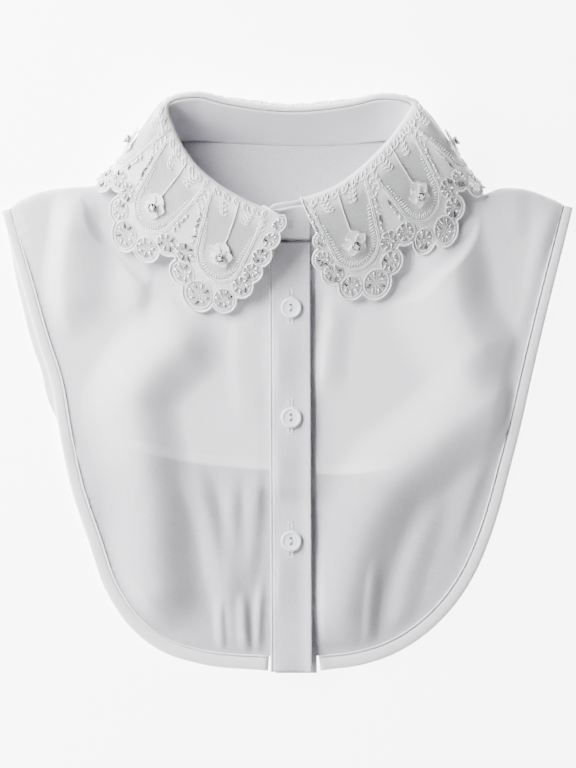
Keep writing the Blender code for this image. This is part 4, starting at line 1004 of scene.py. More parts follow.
lobes = np.linspace(BAND_START, BAND_END, 420)
neck = through(NECK, lobes)
seam, fold = neck[:, :3], neck[:, 3:]
rise, out = facing(seam, fold, np.gradient(fold, axis=0))
ends = np.clip((BAND_END - lobes) / BAND_ROUND, 0.0, 1.0)
drop = BAND_ROUND_DROP * (1 - np.sqrt(1 - (1 - ends) ** 2))
top = fold - rise * (BAND_TOP_GAP + drop)[:, None]
around = lengths_along(seam)
outer = BAND_BOW + 0.18 * np.sin(around / 6.5 + 2 * np.sin(around / 37.0))
inner = BAND_BOW + 0.16 * np.sin(around / 7.0 + 3 * np.sin(around / 29.0))
columns = []
for bow, stand, shares in ((outer, -0.15, BAND_UP), (inner, 0.15 - BAND_WALL, BAND_UP[::-1])):
    for share in shares:
        away = bow * math.sin(math.pi * share) + stand
        columns.append(seam + (top - seam) * share + out * away[:, None])
band = loft("neck_band_cloth", np.stack(columns, axis=1), chiffon)
paint(band, "plies_and_shade", np.full(len(band.data.vertices), BAND_PLIES))
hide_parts("neck_band")
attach(band, "root")

here, beyond = through(NECK, [BAND_HOLE_AT, BAND_HOLE_AT + 0.04])
rise, out = facing(here[:3], here[3:], beyond[3:] - here[3:])
ahead = np.cross(out, rise)
centre = here[:3] + rise * np.arange(*BAND_HOLE_UP, 0.55)[:, None] + out * 0.45
starts = [centre + ahead * side * BUTTONHOLE_SLIT for side in (-1, 1)]
ends = [centre + ahead * side * 1.5 for side in (-1, 1)]
band_buttonhole = sew("band_buttonhole", starts, ends, BUTTONHOLE_THREAD)
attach(band_buttonhole, "root")

# ---- Lace fall
# The turned-down collar: organza in nine scalloped lobes, folded over the band's top edge. A
# rounded tongue down the middle of each lobe is plain organza, and round it lie openwork wheels.
LeafRow = namedtuple("LeafRow", "lobe a_x a_y a_z b_x b_y b_z tip_x tip_y tip_z")
LEAF = [
    LeafRow(0.0, 4.0, 84.0, 22, 0.0, 54.0, 7, -4.5, 23.5, 4.4),
    LeafRow(1.0, -36.0, 91.0, 23, -46.0, 65.5, 8, -54.5, 42.5, 4.4),
    LeafRow(2.0, -72.0, 120.0, 27, -89.5, 99.5, 13, -103.5, 80.5, 5.2),
    LeafRow(3.0, -80.0, 164.0, 32, -99.0, 138.0, 16, -118.5, 125.5, 4.0),
    LeafRow(3.5, -65.5, 173.5, 20, -80.0, 152.5, 1, -93.0, 133.0, 1.0),
    LeafRow(4.0, -38.5, 174.5, 8, -46.5, 174.0, 1, -66.5, 122.5, 1.0),
    LeafRow(5.0, 1.5, 171.5, 6, 1.5, 173.0, 1, 1.5, 114.5, 1.0),
    LeafRow(6.0, 41.5, 173.5, 8, 49.0, 174.0, 1, 68.5, 122.5, 1.0),
    LeafRow(6.5, 68.5, 172.0, 20, 85.0, 152.5, 1, 97.0, 133.0, 1.0),
    LeafRow(7.0, 87.0, 161.5, 32, 105.0, 138.0, 16, 122.5, 120.0, 4.0),
    LeafRow(8.0, 72.5, 129.5, 27, 89.5, 103.5, 13, 99.0, 82.5, 5.2),
    LeafRow(9.0, 36.5, 98.0, 23, 46.5, 73.5, 8, 55.0, 50.0, 4.4),
    LeafRow(10.0, -4.0, 84.0, 22, 0.5, 57.5, 7, 4.0, 31.5, 4.4),
]
Wheel = namedtuple("Wheel", "side depth radius")
WHEELS = [
    Wheel(18.5, 51.5, 7.4),
    Wheel(11.0, 63.0, 8.0),
    Wheel(-4.0, 67.5, 9.6),
    Wheel(-16.0, 61.0, 7.6),
    Wheel(-19.0, 49.5, 7.2),
]
FRONT_WHEELS = [
    Wheel(27.0, 11.5, 5.0),
    Wheel(25.5, 20.5, 6.0),
    Wheel(23.5, 31.0, 6.6),
    Wheel(21.5, 41.5, 6.8),
]
RIGHT_FRONT_WHEELS = [
    Wheel(19.0, 30.0, 4.6),
    Wheel(21.5, 41.0, 6.6),
]
WALL = 1.0
LEAF_DEPTH = 78.0
LOBE_WIDTH_FOLD = 38.0
LOBE_WIDTH_EDGE = 54.0
FOLD_ROLL = 1.8
FOLD_FREE_DEPTH = 8.0
LEAF_LIFT = 0.25
LEAF_BLEND = 1.0
OFF_PANEL_SLOPE = 1.6
OFF_PANEL_REACH = 6.0
LANDING = 5.5
LANDING_SLOPE = 0.9
LEFT_CORNER_SIDE = 12.5
RIGHT_CORNER_SIDE = 22.0
HIDDEN_START = 3.0
HIDDEN_END = 7.0
SCALLOP_MARGIN = 0.8
CORNER_CHORD = 1.2
CORD_HALF_TOP = 18.5
CORD_HALF_LOW = 14.5
CORD_FOOT = 55.0
CORD_TOP_DEPTH = 9.0
ORGANZA_WALL = 0.4
LACE_GRID = 1.2
LOBES = range(1, 10)


def lobe_width(depth):
    """Width of one lobe of the fall, which flares from the fold to the edge."""
    return LOBE_WIDTH_FOLD + (LOBE_WIDTH_EDGE - LOBE_WIDTH_FOLD) * np.asarray(depth, float) / LEAF_DEPTH


def towards_front(lobe):
    """Which way the lobe coordinate runs when going towards the front on this lobe."""
    return -1.0 if lobe <= 5 else 1.0


def lobe_place(lobe, side, depth):
    """Lobe coordinate of a point beside a lobe's middle line."""
    return lobe + towards_front(lobe) * np.asarray(side, float) / lobe_width(depth)


def raw_leaf_point(u, depth):
    """The fall's inner face before it is kept clear of the panels."""
    neck = through(NECK, u)
    ahead = through(NECK, u + 0.02)[:, 3:] - through(NECK, u - 0.02)[:, 3:]
    fold = neck[:, 3:]
    rise, out = facing(neck[:, :3], fold, ahead)
    guides = through(LEAF, u)
    first, second, tip = guides[:, :3], guides[:, 3:6], guides[:, 6:]
    lead = first - fold
    turn = np.arctan2((lead * out).sum(axis=1), (lead * rise).sum(axis=1))
    turn = np.where(turn < 0.6, np.pi * 0.8, turn)
    roll_length = FOLD_ROLL * turn
    angle = np.clip(depth / FOLD_ROLL, 0.0, turn)
    roll = FOLD_ROLL * (out * (1 - np.cos(angle))[:, None] + rise * np.sin(angle)[:, None])
    full_roll = FOLD_ROLL * (out * (1 - np.cos(turn))[:, None] + rise * np.sin(turn)[:, None])
    start = fold + full_roll
    t = np.linspace(0.0, 1.0, 25)[None, :, None]
    curve = (
        (1 - t) ** 3 * start[:, None]
        + 3 * (1 - t) ** 2 * t * (first + full_roll)[:, None]
        + 3 * (1 - t) * t**2 * second[:, None]
        + t**3 * tip[:, None]
    )
    length = np.zeros(curve.shape[:2])
    length[:, 1:] = np.cumsum(np.linalg.norm(np.diff(curve, axis=1), axis=2), axis=1)
    share = np.clip((depth - roll_length) / (LEAF_DEPTH - roll_length), 0.0, 1.0)
    goal = share * length[:, -1]
    cell = np.clip((length < goal[:, None]).sum(axis=1) - 1, 0, curve.shape[1] - 2)
    row = np.arange(len(u))
    span = length[row, cell + 1] - length[row, cell]
    part = ((goal - length[row, cell]) / span)[:, None]
    hanging = curve[row, cell] * (1 - part) + curve[row, cell + 1] * part
    return np.where((depth < roll_length)[:, None], fold + roll, hanging)


def leaf_point(u, depth):
    """The fall's inner face: over the fronts, round the shoulder folds and under the back."""
    u = np.atleast_1d(np.asarray(u, float))
    depth = np.broadcast_to(np.asarray(depth, float), u.shape)
    x, y, z = raw_leaf_point(u, depth).T
    front = depth_inside(x, y, WHOLE_FRONT)
    floor = front_height(x, y) + WALL + GAP + LEAF_LIFT + OFF_PANEL_SLOPE * np.minimum(front, 0.0)
    lifted = 0.5 * (z + floor + np.sqrt((z - floor) ** 2 + LEAF_BLEND))
    back = depth_inside(x, y, WHOLE_BACK)
    ceiling = WALL + LANDING_SLOPE * np.maximum(-back - LANDING, 0.0)
    lowered = np.maximum(WALL, np.minimum(z, ceiling))
    hidden = (u > HIDDEN_START) & (u < HIDDEN_END)
    height = np.where(hidden, lowered, np.where(front > -OFF_PANEL_REACH, lifted, z))
    return np.column_stack([x, y, np.where(depth > FOLD_FREE_DEPTH, height, z)])


def leaf_normal(u, depth):
    """Outward direction of the fall."""
    u = np.atleast_1d(np.asarray(u, float))
    depth = np.broadcast_to(np.asarray(depth, float), u.shape)
    across = leaf_point(u + 0.02, depth) - leaf_point(u - 0.02, depth)
    down = leaf_point(u, depth + 0.7) - leaf_point(u, np.maximum(depth - 0.7, 0.0))
    return unit(np.cross(across, down))


MAP_LOBES = np.linspace(0.3, 9.7, 753)
MAP_DEPTHS = np.linspace(0.0, LEAF_DEPTH, 121)
map_u, map_depth = (grid.ravel() for grid in np.meshgrid(MAP_LOBES, MAP_DEPTHS, indexing="ij"))
leaf_map = leaf_point(map_u, map_depth).reshape(len(MAP_LOBES), len(MAP_DEPTHS), 3)
map_out = unit(np.cross(np.gradient(leaf_map, axis=0), np.gradient(leaf_map, axis=1)))


def ruffle(u, depth):
    """How far the organza itself rises and sinks, in soft flutes that run from the fold to the edge."""
    shown = np.clip(smooth((HIDDEN_START + 0.2 - u) / 0.3) + smooth((u - HIDDEN_END + 0.2) / 0.3), 0, 1)
    along = u * LOBE_WIDTH_FOLD
    flutes = 0.75 * wrinkles(along, depth * 0.2, 8, 16.0) + 0.15 * wrinkles(along, depth, 5, 12.0)
    return np.clip(flutes, -0.15, 0.8) * shown * smooth(depth / 12) * smooth((86 - depth) / 20)


leaf_map = leaf_map + map_out * ruffle(map_u, map_depth).reshape(*leaf_map.shape[:2], 1)


def on_leaf(lobe, side, depth, stand):
    """Points in space at places on a lobe, a given way out from the organza's face."""
    side, depth = np.broadcast_arrays(np.asarray(side, float), np.asarray(depth, float))
    step = np.array([MAP_LOBES[1] - MAP_LOBES[0], MAP_DEPTHS[1]])
    place = np.column_stack([lobe_place(lobe, side, depth) - MAP_LOBES[0], depth]) / step
    cell = np.clip(place.astype(int), 0, np.array(leaf_map.shape[:2]) - 2)
    row, column = cell.T
    part_u, part_depth = (place - cell).T[:, :, None]
    face, out = (
        (grid[row, column] * (1 - part_u) + grid[row + 1, column] * part_u) * (1 - part_depth)
        + (grid[row, column + 1] * (1 - part_u) + grid[row + 1, column + 1] * part_u) * part_depth
        for grid in (leaf_map, map_out)
    )
    return face + out * (ORGANZA_WALL + np.asarray(stand)).reshape(-1, 1)


def lobe_wheels(lobe):
    """The wheels of one lobe, in the order that its edge meets them."""
    wheels = {1: FRONT_WHEELS, 9: RIGHT_FRONT_WHEELS}.get(lobe, []) + WHEELS
    return wheels if lobe <= 5 else wheels[::-1]


def straight_edge(start, end):
    """Points between two corners of the outline, close enough to follow the roll at the fold."""
    start, end = np.array(start), np.array(end)
    length = math.hypot((end[0] - start[0]) * LOBE_WIDTH_FOLD, end[1] - start[1])
    count = int(length / CORNER_CHORD) + 1
    return [tuple(map(float, start + (end - start) * step / count)) for step in range(1, count)]


def leaf_outline(margin, chord):
    """The scalloped edge from the left front corner to the right one, as (lobe coordinate, depth)."""
    circles = []
    for lobe in LOBES:
        for wheel in lobe_wheels(lobe):
            place = float(lobe_place(lobe, wheel.side, wheel.depth))
            circles.append((place, wheel.depth, wheel.radius + margin))
    edge = [(float(lobe_place(1, LEFT_CORNER_SIDE, 0.0)), 0.0)]
    cusps = [(circles[0][0] - 0.02, circles[0][1] - circles[0][2] * 0.9)]
    for (u0, d0, r0), (u1, d1, r1) in zip(circles, circles[1:]):
        width = float(lobe_width((d0 + d1) / 2))
        run = np.array([(u1 - u0) * width, d1 - d0])
        apart = float(np.linalg.norm(run))
        along = (apart**2 + r0**2 - r1**2) / (2 * apart)
        out = math.sqrt(max(r0**2 - along**2, 0.01))
        run /= apart
        cusp = run * along + np.array([-run[1], run[0]]) * out
        cusps.append((u0 + cusp[0] / width, d0 + cusp[1]))
    cusps.append((circles[-1][0] + 0.02, circles[-1][1] - circles[-1][2] * 0.9))
    edge += straight_edge(edge[0], cusps[0])
    for (u, d, r), entry, leave in zip(circles, cusps, cusps[1:]):
        width = float(lobe_width(d))
        begin = math.atan2(entry[1] - d, (entry[0] - u) * width)
        end = math.atan2(leave[1] - d, (leave[0] - u) * width)
        while end > begin:
            end -= 2 * math.pi
        count = max(2, int(round((begin - end) * r / chord)))
        edge.append(entry)
        for step in range(1, count):
            angle = begin + (end - begin) * step / count
            edge.append((u + r * math.cos(angle) / width, d + r * math.sin(angle)))
    corner = (float(lobe_place(9, RIGHT_CORNER_SIDE, 0.0)), 0.0)
    return edge + [cusps[-1]] + straight_edge(cusps[-1], corner) + [corner]


def tongue_half(depth):
    """Half width of the plain tongue in a lobe's middle at a depth."""
    straight = CORD_FOOT - CORD_HALF_LOW
    side = CORD_HALF_TOP + (CORD_HALF_LOW - CORD_HALF_TOP) * np.clip(depth / straight, 0, 1)
    low = np.sqrt(np.clip(CORD_HALF_LOW**2 - np.clip(depth - straight, 0, None) ** 2, 0.0, None))
    return np.where(depth <= straight, side, low)


PLAIN = (0.47, 0.475, 0.485, 1.0)
WORKED = (0.80, 0.80, 0.805, 1.0)
NET = (0.70, 0.70, 0.71, 1.0)
organza = Finish("embroidered_organza", roughness=0.5)
organza.shader.inputs["Sheen Weight"].default_value = 0.25
weave = organza.noise(3200.0, 1.0)
thread_lay = organza.noise(900.0, 2.0)
organza.bump(weave * 0.4 + thread_lay, 0.22)
plain, net = organza.attribute("plain"), organza.attribute("net")
organza_colour = organza.blend(plain.clamp(), WORKED, PLAIN)
organza_colour = organza.blend(net.clamp(), organza_colour, NET)
organza.drive("Base Color", organza.blend((thread_lay - 0.4) * 0.6, organza_colour, (0.93, 0.93, 0.94, 1.0)))
organza.drive("Alpha", 1.0 - net * 0.42)

edge = leaf_outline(SCALLOP_MARGIN, 1.3)
start, end = edge[0][0], edge[-1][0]
edge += [(float(u), 0.0) for u in np.arange(end - 0.03, start + 0.02, -0.033)]
flat_edge = np.array([(u * LOBE_WIDTH_FOLD, depth) for u, depth in edge])
flat, faces = fill(flat_edge, LACE_GRID)
u, depth = flat[:, 0] / LOBE_WIDTH_FOLD, flat[:, 1]
plain_at, net_at = np.zeros(len(u)), np.zeros(len(u))
for lobe in LOBES:
    side = (u - lobe) * towards_front(lobe) * lobe_width(depth)
    within = (np.abs(side) < 26.0) * smooth((tongue_half(depth) - np.abs(side)) / 1.5 - 0.2)
    plain_at = np.maximum(plain_at, within * smooth((depth - 10) / 8))
    for wheel in lobe_wheels(lobe):
        gap = wheel.radius - np.hypot(side - wheel.side, depth - wheel.depth)
        net_at = np.maximum(net_at, smooth((gap - 1.2) / 1.0))
plain_at *= 1 - 0.4 * smooth((depth - 34) / 12)
points = leaf_point(u, depth) + leaf_normal(u, depth) * ruffle(u, depth)[:, None]
fall = add_piece("collar_fall_lace", points, faces, organza)
paint(fall, "plain", plain_at)
paint(fall, "net", net_at)
give_wall(fall, ORGANZA_WALL)
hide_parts("collar_fall")
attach(fall, "root")

# ---- Cords on the lace
# Smooth gimp cord, laid on the organza and caught down: a thick one along the scalloped edge, and
# fine ones once round each wheel, twice round each tongue, down to its flower as a stem, and looped
# along the fold with short sprays below.
EDGE_CORD = 1.25
FINE_CORD = 0.8
WHEEL_RING = 1.7
STAND = 0.25
FLOWER_DEPTH = 39.5
STEM_SWAY = 0.4
STEM_TOP = 7.0
VINE_STEP = 6.4
VINE_DEPTH = 6.6
SPRAY_DEPTH = 8.0
Spray = namedtuple("Spray", "root lean drop")
SPRAYS = [
    Spray(-17.5, -1.5, 14.0),
    Spray(-9.5, 2.6, 9.0),
    Spray(9.5, -2.0, 8.0),
    Spray(17.0, 1.0, 12.0),
]

cord_tree = Tree("laid_cord", {"Thickness": "NodeSocketFloat", "Finish": "NodeSocketMaterial"})
line = cord_tree.node("GeometryNodeMeshToCurve", {}, {"Mesh": cord_tree.inputs["Guide"]})
half = cord_tree.node("ShaderNodeMath", {"operation": "MULTIPLY"}, {0: cord_tree.inputs["Thickness"], 1: 0.5})
circle = cord_tree.node("GeometryNodeCurvePrimitiveCircle", {}, {"Resolution": 6, "Radius": half[0]})
sockets = {"Curve": line["Curve"], "Profile Curve": circle["Curve"], "Fill Caps": True}
cord_tree.finish_with(cord_tree.node("GeometryNodeCurveToMesh", {}, sockets)[0])


def guide_lines(name, lines):
    """A guide of separate open lines."""
    points, edges = [], []
    for line in lines:
        first = len(points)
        points.extend(map(tuple, np.asarray(line) * MM))
        edges += [(i, i + 1) for i in range(first, len(points) - 1)]
    guide = bpy.data.meshes.new(name)
    guide.from_pydata(points, edges, [])
    return guide


def on_wheel(lobe, wheel, radius, angle, stand):
    """Points on a lobe at a radius and angles round a wheel's middle."""
    return on_leaf(lobe, wheel.side + radius * np.cos(angle), wheel.depth + radius * np.sin(angle), stand)


def tongue_line(shift, low=CORD_TOP_DEPTH, count=26):
    """Side and depth along a tongue's outline, moved out by a distance, from top to top."""
    straight = CORD_FOOT - CORD_HALF_LOW
    down = np.linspace(low, straight, count)
    lean = CORD_HALF_TOP + (CORD_HALF_LOW - CORD_HALF_TOP) * down / straight
    angle = np.linspace(0.0, math.pi, count * 2)[1:-1]
    radius = CORD_HALF_LOW + shift
    side = np.concatenate([lean + shift, radius * np.cos(angle), -(lean + shift)[::-1]])
    depth = np.concatenate([down, straight + radius * np.sin(angle), down[::-1]])
    return side, depth


def edge_line(margin):
    """The scalloped edge in space, drawn in from its true line."""
    u, depth = np.array(leaf_outline(margin, 1.0)[1:-1]).T
    return leaf_point(u, depth) + leaf_normal(u, depth) * (ORGANZA_WALL + STAND)


gimp = Finish("white_gimp_cord", base_color=(0.90, 0.90, 0.91, 1.0), roughness=0.38)
gimp.shader.inputs["Sheen Weight"].default_value = 0.2
gimp.bump(gimp.noise(2200.0, 1.0), 0.12)
guide = guide_lines("edge_cord", [edge_line(0.15)])
cords = grow("edge_cord", guide, cord_tree, {"Thickness": EDGE_CORD * MM}, gimp)
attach(cords, "root")

lines = []
for lobe in LOBES:
    for wheel in lobe_wheels(lobe):
        angle = np.linspace(0, 2 * math.pi, 29)
        lines.append(on_wheel(lobe, wheel, wheel.radius - WHEEL_RING, angle, STAND * 0.8))
    for shift in (-0.5, 0.5):
        lines.append(on_leaf(lobe, *tongue_line(shift), STAND))
    if lobe <= HIDDEN_START or lobe >= HIDDEN_END:
        depth = np.linspace(STEM_TOP, FLOWER_DEPTH - STEM_TOP, 16)
        side = STEM_SWAY * np.sin((depth - STEM_TOP) / 9.0)
        lines.append(on_leaf(lobe, side, depth, STAND + 0.25))
    along = np.arange(-LOBE_WIDTH_FOLD / 2, LOBE_WIDTH_FOLD / 2, 0.45)
    swing = 2 * math.pi * (along + lobe * LOBE_WIDTH_FOLD) / VINE_STEP
    side, depth = along + 2.1 * np.sin(swing), VINE_DEPTH + 2.3 * np.cos(swing)
    within = np.abs(lobe_place(lobe, side, depth) - 5) < 4.52
    lines.append(on_leaf(lobe, side[within], depth[within], STAND * 0.8))
    for spray in SPRAYS:
        stem = np.linspace(0.0, 1.0, 12)
        side, depth = spray.root + spray.lean * stem, SPRAY_DEPTH + spray.drop * stem
        lines.append(on_leaf(lobe, side, depth, STAND * 0.8))
fine = grow("fine_cords", guide_lines("fine_cords", lines), cord_tree, {"Thickness": FINE_CORD * MM}, gimp)
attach(fine, "root")

# ---- Stitches and spokes on the lace
# Blanket stitches that stand inwards from the cord round each tongue, the satin leaves of the
# sprays below the fold and the thin spokes that hold each wheel open, all in white thread.
BLANKET_STEP = 1.8
BLANKET_LONG = 3.4
BLANKET_THREAD = 0.85
SATIN_THREAD = 1.15
SPOKES = 8
SPOKE_THREAD = 0.42

starts, ends = [], []
for lobe in LOBES:
    side, depth = tongue_line(-1.2, 22.0, 60)
    steps = lengths_along(np.column_stack([side, depth]))
    at = np.arange(0.0, steps[-1], BLANKET_STEP)
    side, depth = np.interp(at, steps, side), np.interp(at, steps, depth)
    straight = CORD_FOOT - CORD_HALF_LOW
    towards = np.where(depth > straight, straight + (depth - straight) * 0.05, depth + 1.0)
    into = unit(np.column_stack([-side * 0.98, towards - depth]))
    uneven = 1 + 0.12 * np.sin(np.arange(len(at)) * 2.3)
    reach = BLANKET_LONG * (0.55 + 0.45 * smooth((depth - 22) / 16)) * uneven
    starts.append(on_leaf(lobe, side, depth, 0.3))
    ends.append(on_leaf(lobe, side + into[:, 0] * reach, depth + into[:, 1] * reach, 0.2))
blanket = sew("blanket_stitches", starts, ends, BLANKET_THREAD, gimp)

starts, ends = [], []
for lobe in LOBES:
    for spray in SPRAYS:
        share = np.linspace(0.15, 1.0, 4)
        for hand in (-1, 1):
            side, depth = spray.root + spray.lean * share, SPRAY_DEPTH + spray.drop * share
            starts.append(on_leaf(lobe, side + 0.3 * hand, depth, 0.2))
            ends.append(on_leaf(lobe, side + 2.5 * hand, depth - 1.6, 0.2))
    along = np.arange(-17.0, 18.0, VINE_STEP / 2)
    starts.append(on_leaf(lobe, along, VINE_DEPTH - 1.4, 0.2))
    ends.append(on_leaf(lobe, along + 1.6, VINE_DEPTH + 1.2, 0.2))
leaves = sew("satin_leaves", starts, ends, SATIN_THREAD, gimp)

starts, ends = [], []
for lobe in LOBES:
    for wheel in lobe_wheels(lobe):
        angle = 2 * math.pi * (np.arange(SPOKES) + 0.5) / SPOKES + wheel.side
        starts.append(on_wheel(lobe, wheel, 0.1, angle, 0.1))
        ends.append(on_wheel(lobe, wheel, wheel.radius - WHEEL_RING, angle, 0.1))
spokes = sew("wheel_spokes", starts, ends, SPOKE_THREAD, gimp)
for piece in (blanket, leaves, spokes):
    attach(piece, "root")

# ---- Bugle beads
# Short cut tubes of silver-lined glass, sewn on flat: five to eight lie round the middle of every
# wheel, a little unevenly, and single loose rows run up the notches beside the tongues.
BEAD_LONG = 3.0
BEAD_THICK = 1.1
BEAD_STAND = 0.55
BEAD_RING = 0.52
# Painted reflections: each bead is coloured from near black to white at random, standing in for the dark and
# bright glints of its silver lining.
BEAD_GLINT_TONES = (0.05, 0.5, 0.85, 1.0)
BEAD_GLINT_SHARES = (0.2, 0.15, 0.3, 0.35)

tube = {"Vertices": 6, "Radius": 0.5, "Depth": 1.0}
bead_tree = laid_bodies("sewn_beads", "GeometryNodeMeshCylinder", tube)

beads = Finish("silver_lined_beads", metallic=0.75, roughness=0.16)
# Painted reflections: the bead's colour comes from its painted glint tone, dark to white.
painted_glint = beads.attribute("painted_glint")
beads.drive("Base Color", beads.blend(painted_glint, (0.10, 0.10, 0.11, 1.0), (0.98, 0.98, 1.0, 1.0)))

chance = np.random.default_rng(4)
starts, ends = [], []
for lobe in LOBES:
    for wheel in lobe_wheels(lobe):
        count = 5 if wheel.radius < 5.5 else 7 if wheel.radius < 9 else 8
        angle = 2 * math.pi * np.arange(count) / count + wheel.side
        lie = angle + chance.uniform(-0.55, 0.55, count)
        middle, half = BEAD_RING * wheel.radius, BEAD_LONG / 2 * min(1.0, wheel.radius / 7.0)
        side, depth = wheel.side + middle * np.cos(angle), wheel.depth + middle * np.sin(angle)
        starts.append(on_leaf(lobe, side - half * np.cos(lie), depth - half * np.sin(lie), BEAD_STAND))
        ends.append(on_leaf(lobe, side + half * np.cos(lie), depth + half * np.sin(lie), BEAD_STAND))
    rows = [(-1, np.arange(24.0, 43.0, 3.4))]
    if lobe != 1:
        rows.append((1, np.arange(14.0, 26.0, 3.8) if lobe == 9 else np.arange(30.0, 43.0, 3.8)))
    for hand, depth in rows:
        side = hand * (tongue_half(depth) + 2.9)
        lie = chance.uniform(-1.1, 1.1, len(depth))
        side_half, depth_half = BEAD_LONG / 2 * np.sin(lie), BEAD_LONG / 2 * np.cos(lie)
        starts.append(on_leaf(lobe, side - side_half, depth - depth_half, BEAD_STAND))
        ends.append(on_leaf(lobe, side + side_half, depth + depth_half, BEAD_STAND))
starts, ends = np.vstack(starts), np.vstack(ends)
# Painted reflections: a random dark or white tone for each bead.
glint_tones = chance.choice(BEAD_GLINT_TONES, len(starts), p=BEAD_GLINT_SHARES)
guide = between_points("bugle_beads", starts, ends, glint_tones)
bugle_beads = grow("bugle_beads", guide, bead_tree, {"Thickness": BEAD_THICK * MM}, beads)
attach(bugle_beads, "root")

# ---- Flowers
# Crisp satin organza petals, gathered at the middle and sewn on there: one large round petal
# towards the fold, four smaller cupped ones below it and five narrow folded ones between them.
FLOWER_LIFT = 0.15
PETAL_WALL = 0.22
RIDGE_SIDE = 1.5
FLOWER_LOBES = (1, 2, 3, 7, 8, 9)
PetalRow = namedtuple("PetalRow", "turn reach width lift cup")
PETALS = [
    PetalRow(180.0, 9.0, 9.8, 0.05, 0.75),
    PetalRow(110.0, 8.2, 7.2, 0.25, 0.6),
    PetalRow(250.0, 8.2, 7.2, 0.25, 0.6),
    PetalRow(42.0, 7.8, 6.6, 0.45, 0.5),
    PetalRow(-42.0, 7.8, 6.6, 0.45, 0.5),
    PetalRow(0.0, 6.4, 1.9, 1.0, 0.1),
    PetalRow(66.0, 6.2, 1.8, 1.0, 0.1),
    PetalRow(-66.0, 6.2, 1.8, 1.0, 0.1),
    PetalRow(150.0, 5.4, 1.7, 1.0, 0.1),
    PetalRow(-150.0, 5.4, 1.7, 1.0, 0.1),
]


def flower_seat(lobe, side, depth):
    """The fall's inner face and outward direction under a flower, run on straight past a ridge."""
    held = np.maximum(side, RIDGE_SIDE) if lobe in (HIDDEN_START, HIDDEN_END) else side
    u = lobe_place(lobe, held, depth)
    place, out = leaf_point(u, depth), leaf_normal(u, depth)
    across = unit(leaf_point(lobe_place(lobe, held + 1.0, depth), depth) - place)
    return place + across * (side - held)[:, None], out


satin = Finish("satin_organza_petals", base_color=(0.92, 0.92, 0.93, 1.0), roughness=0.28)
satin.shader.inputs["Sheen Weight"].default_value = 0.3
satin.bump(satin.noise(1500.0, 2.0), 0.1)
spread = np.linspace(-1.0, 1.0, 11)
reach = np.linspace(0.0, 1.0, 10)
for number, lobe in enumerate(FLOWER_LOBES, start=1):
    points, faces = [], []
    for petal in PETALS:
        first = len(points)
        for share in reach:
            half = petal.width / 2 * (0.16 + 0.84 * math.sin(math.pi * min(1.0, 0.06 + share * 0.74)) ** 0.8)
            half *= math.sqrt(max(0.0, 1 - max(0.0, (share - 0.62) / 0.40) ** 2))
            for across in spread:
                away = petal.reach * share - 0.10 * petal.reach * across**2 * share
                lift = petal.lift * (1 - share * 0.5) + petal.cup * share**2 * (0.35 + 0.65 * across**2)
                lift += 0.12 * math.cos(across * 9.0) * share
                points.append((away, across * half, lift, petal.turn))
        columns = len(spread)
        for i in range(len(reach) - 1):
            for j in range(columns - 1):
                corner = first + i * columns + j
                faces.append((corner, corner + columns, corner + columns + 1, corner + 1))
    away, across, lift, turn = np.array(points).T
    turn = np.radians(turn)
    side = away * np.sin(turn) + across * np.cos(turn)
    down = FLOWER_DEPTH + away * np.cos(turn) - across * np.sin(turn)
    place, out = flower_seat(lobe, side, down)
    points = place + out * (WALL + GAP + FLOWER_LIFT + lift)[:, None]
    a, b, c = points[list(faces[len(faces) // 2][:3])]
    if np.dot(np.cross(b - a, c - b), out[0]) < 0:
        faces = [face[::-1] for face in faces]
    flower = add_piece(f"flower_{number}_petals", points, faces, satin)
    give_wall(flower, PETAL_WALL)
    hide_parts(f"flower_{number}")
    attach(flower, "root")

# ---- Claw-set stones
# Round cut-glass stones, each in a thin silver cup whose four claws are bent over its rim, sewn
# through the flower's middle.
STONE_DEPTH = 40.0
STONE_RADIUS = 2.6
STONE_HEIGHT = 2.4
STONE_CLEAR = 0.35
FLOWER_WALL = 0.8
CrownRow = namedtuple("CrownRow", "radius height shift")
CROWN = [CrownRow(0.98, 0.55, 0.5), CrownRow(0.80, 0.80, 0.0), CrownRow(0.50, 1.0, 0.5)]
# Painted reflections: the tones that the facets of each stone are given, from near black to white.
FACET_GLINT_TONES = (0.0, 0.05, 0.15, 1.0)
FACET_SHARES = (0.4, 0.25, 0.15, 0.2)
FACES_A_STEP = 6
TABLE_FACE = 4
CUP_PROFILE = [(0.70, 0.02), (1.0, 0.30), (1.06, 0.56), (0.96, 0.56), (0.90, 0.34), (0.62, 0.12)]
CUP_STEPS = 20
ClawRow = namedtuple("ClawRow", "radius height half")
CLAW = [
    ClawRow(1.07, 0.45, 0.20),
    ClawRow(1.04, 0.80, 0.18),
    ClawRow(0.82, 1.0, 0.13),
    ClawRow(0.66, 0.98, 0.09),
]
CLAW_THICK = 0.13

glint = Finish("cut_glass", roughness=0.05)
glint.shader.inputs["Coat Weight"].default_value = 0.6
# Painted reflections: dark facets are made metal and near black, and white ones plain white, standing in for
# the glints of cut glass.
painted_facet_glint = glint.attribute("painted_facet_glint")
glint.drive("Metallic", (1.0 - painted_facet_glint) * 0.9)
glint.drive("Base Color", glint.blend(painted_facet_glint, (0.06, 0.06, 0.07, 1.0), (1.0, 1.0, 1.0, 1.0)))
silver = Finish("silver_claws", base_color=(0.34, 0.34, 0.35, 1.0), metallic=1.0, roughness=0.22)
silver.drive("Roughness", silver.noise(900.0) * 0.15 + 0.18)



def spot_on(angle, radius, height):
    """A spot round the stone's axis, from shares of its radius and height."""
    away = STONE_RADIUS * radius
    return away * math.cos(angle), away * math.sin(angle), STONE_HEIGHT * height


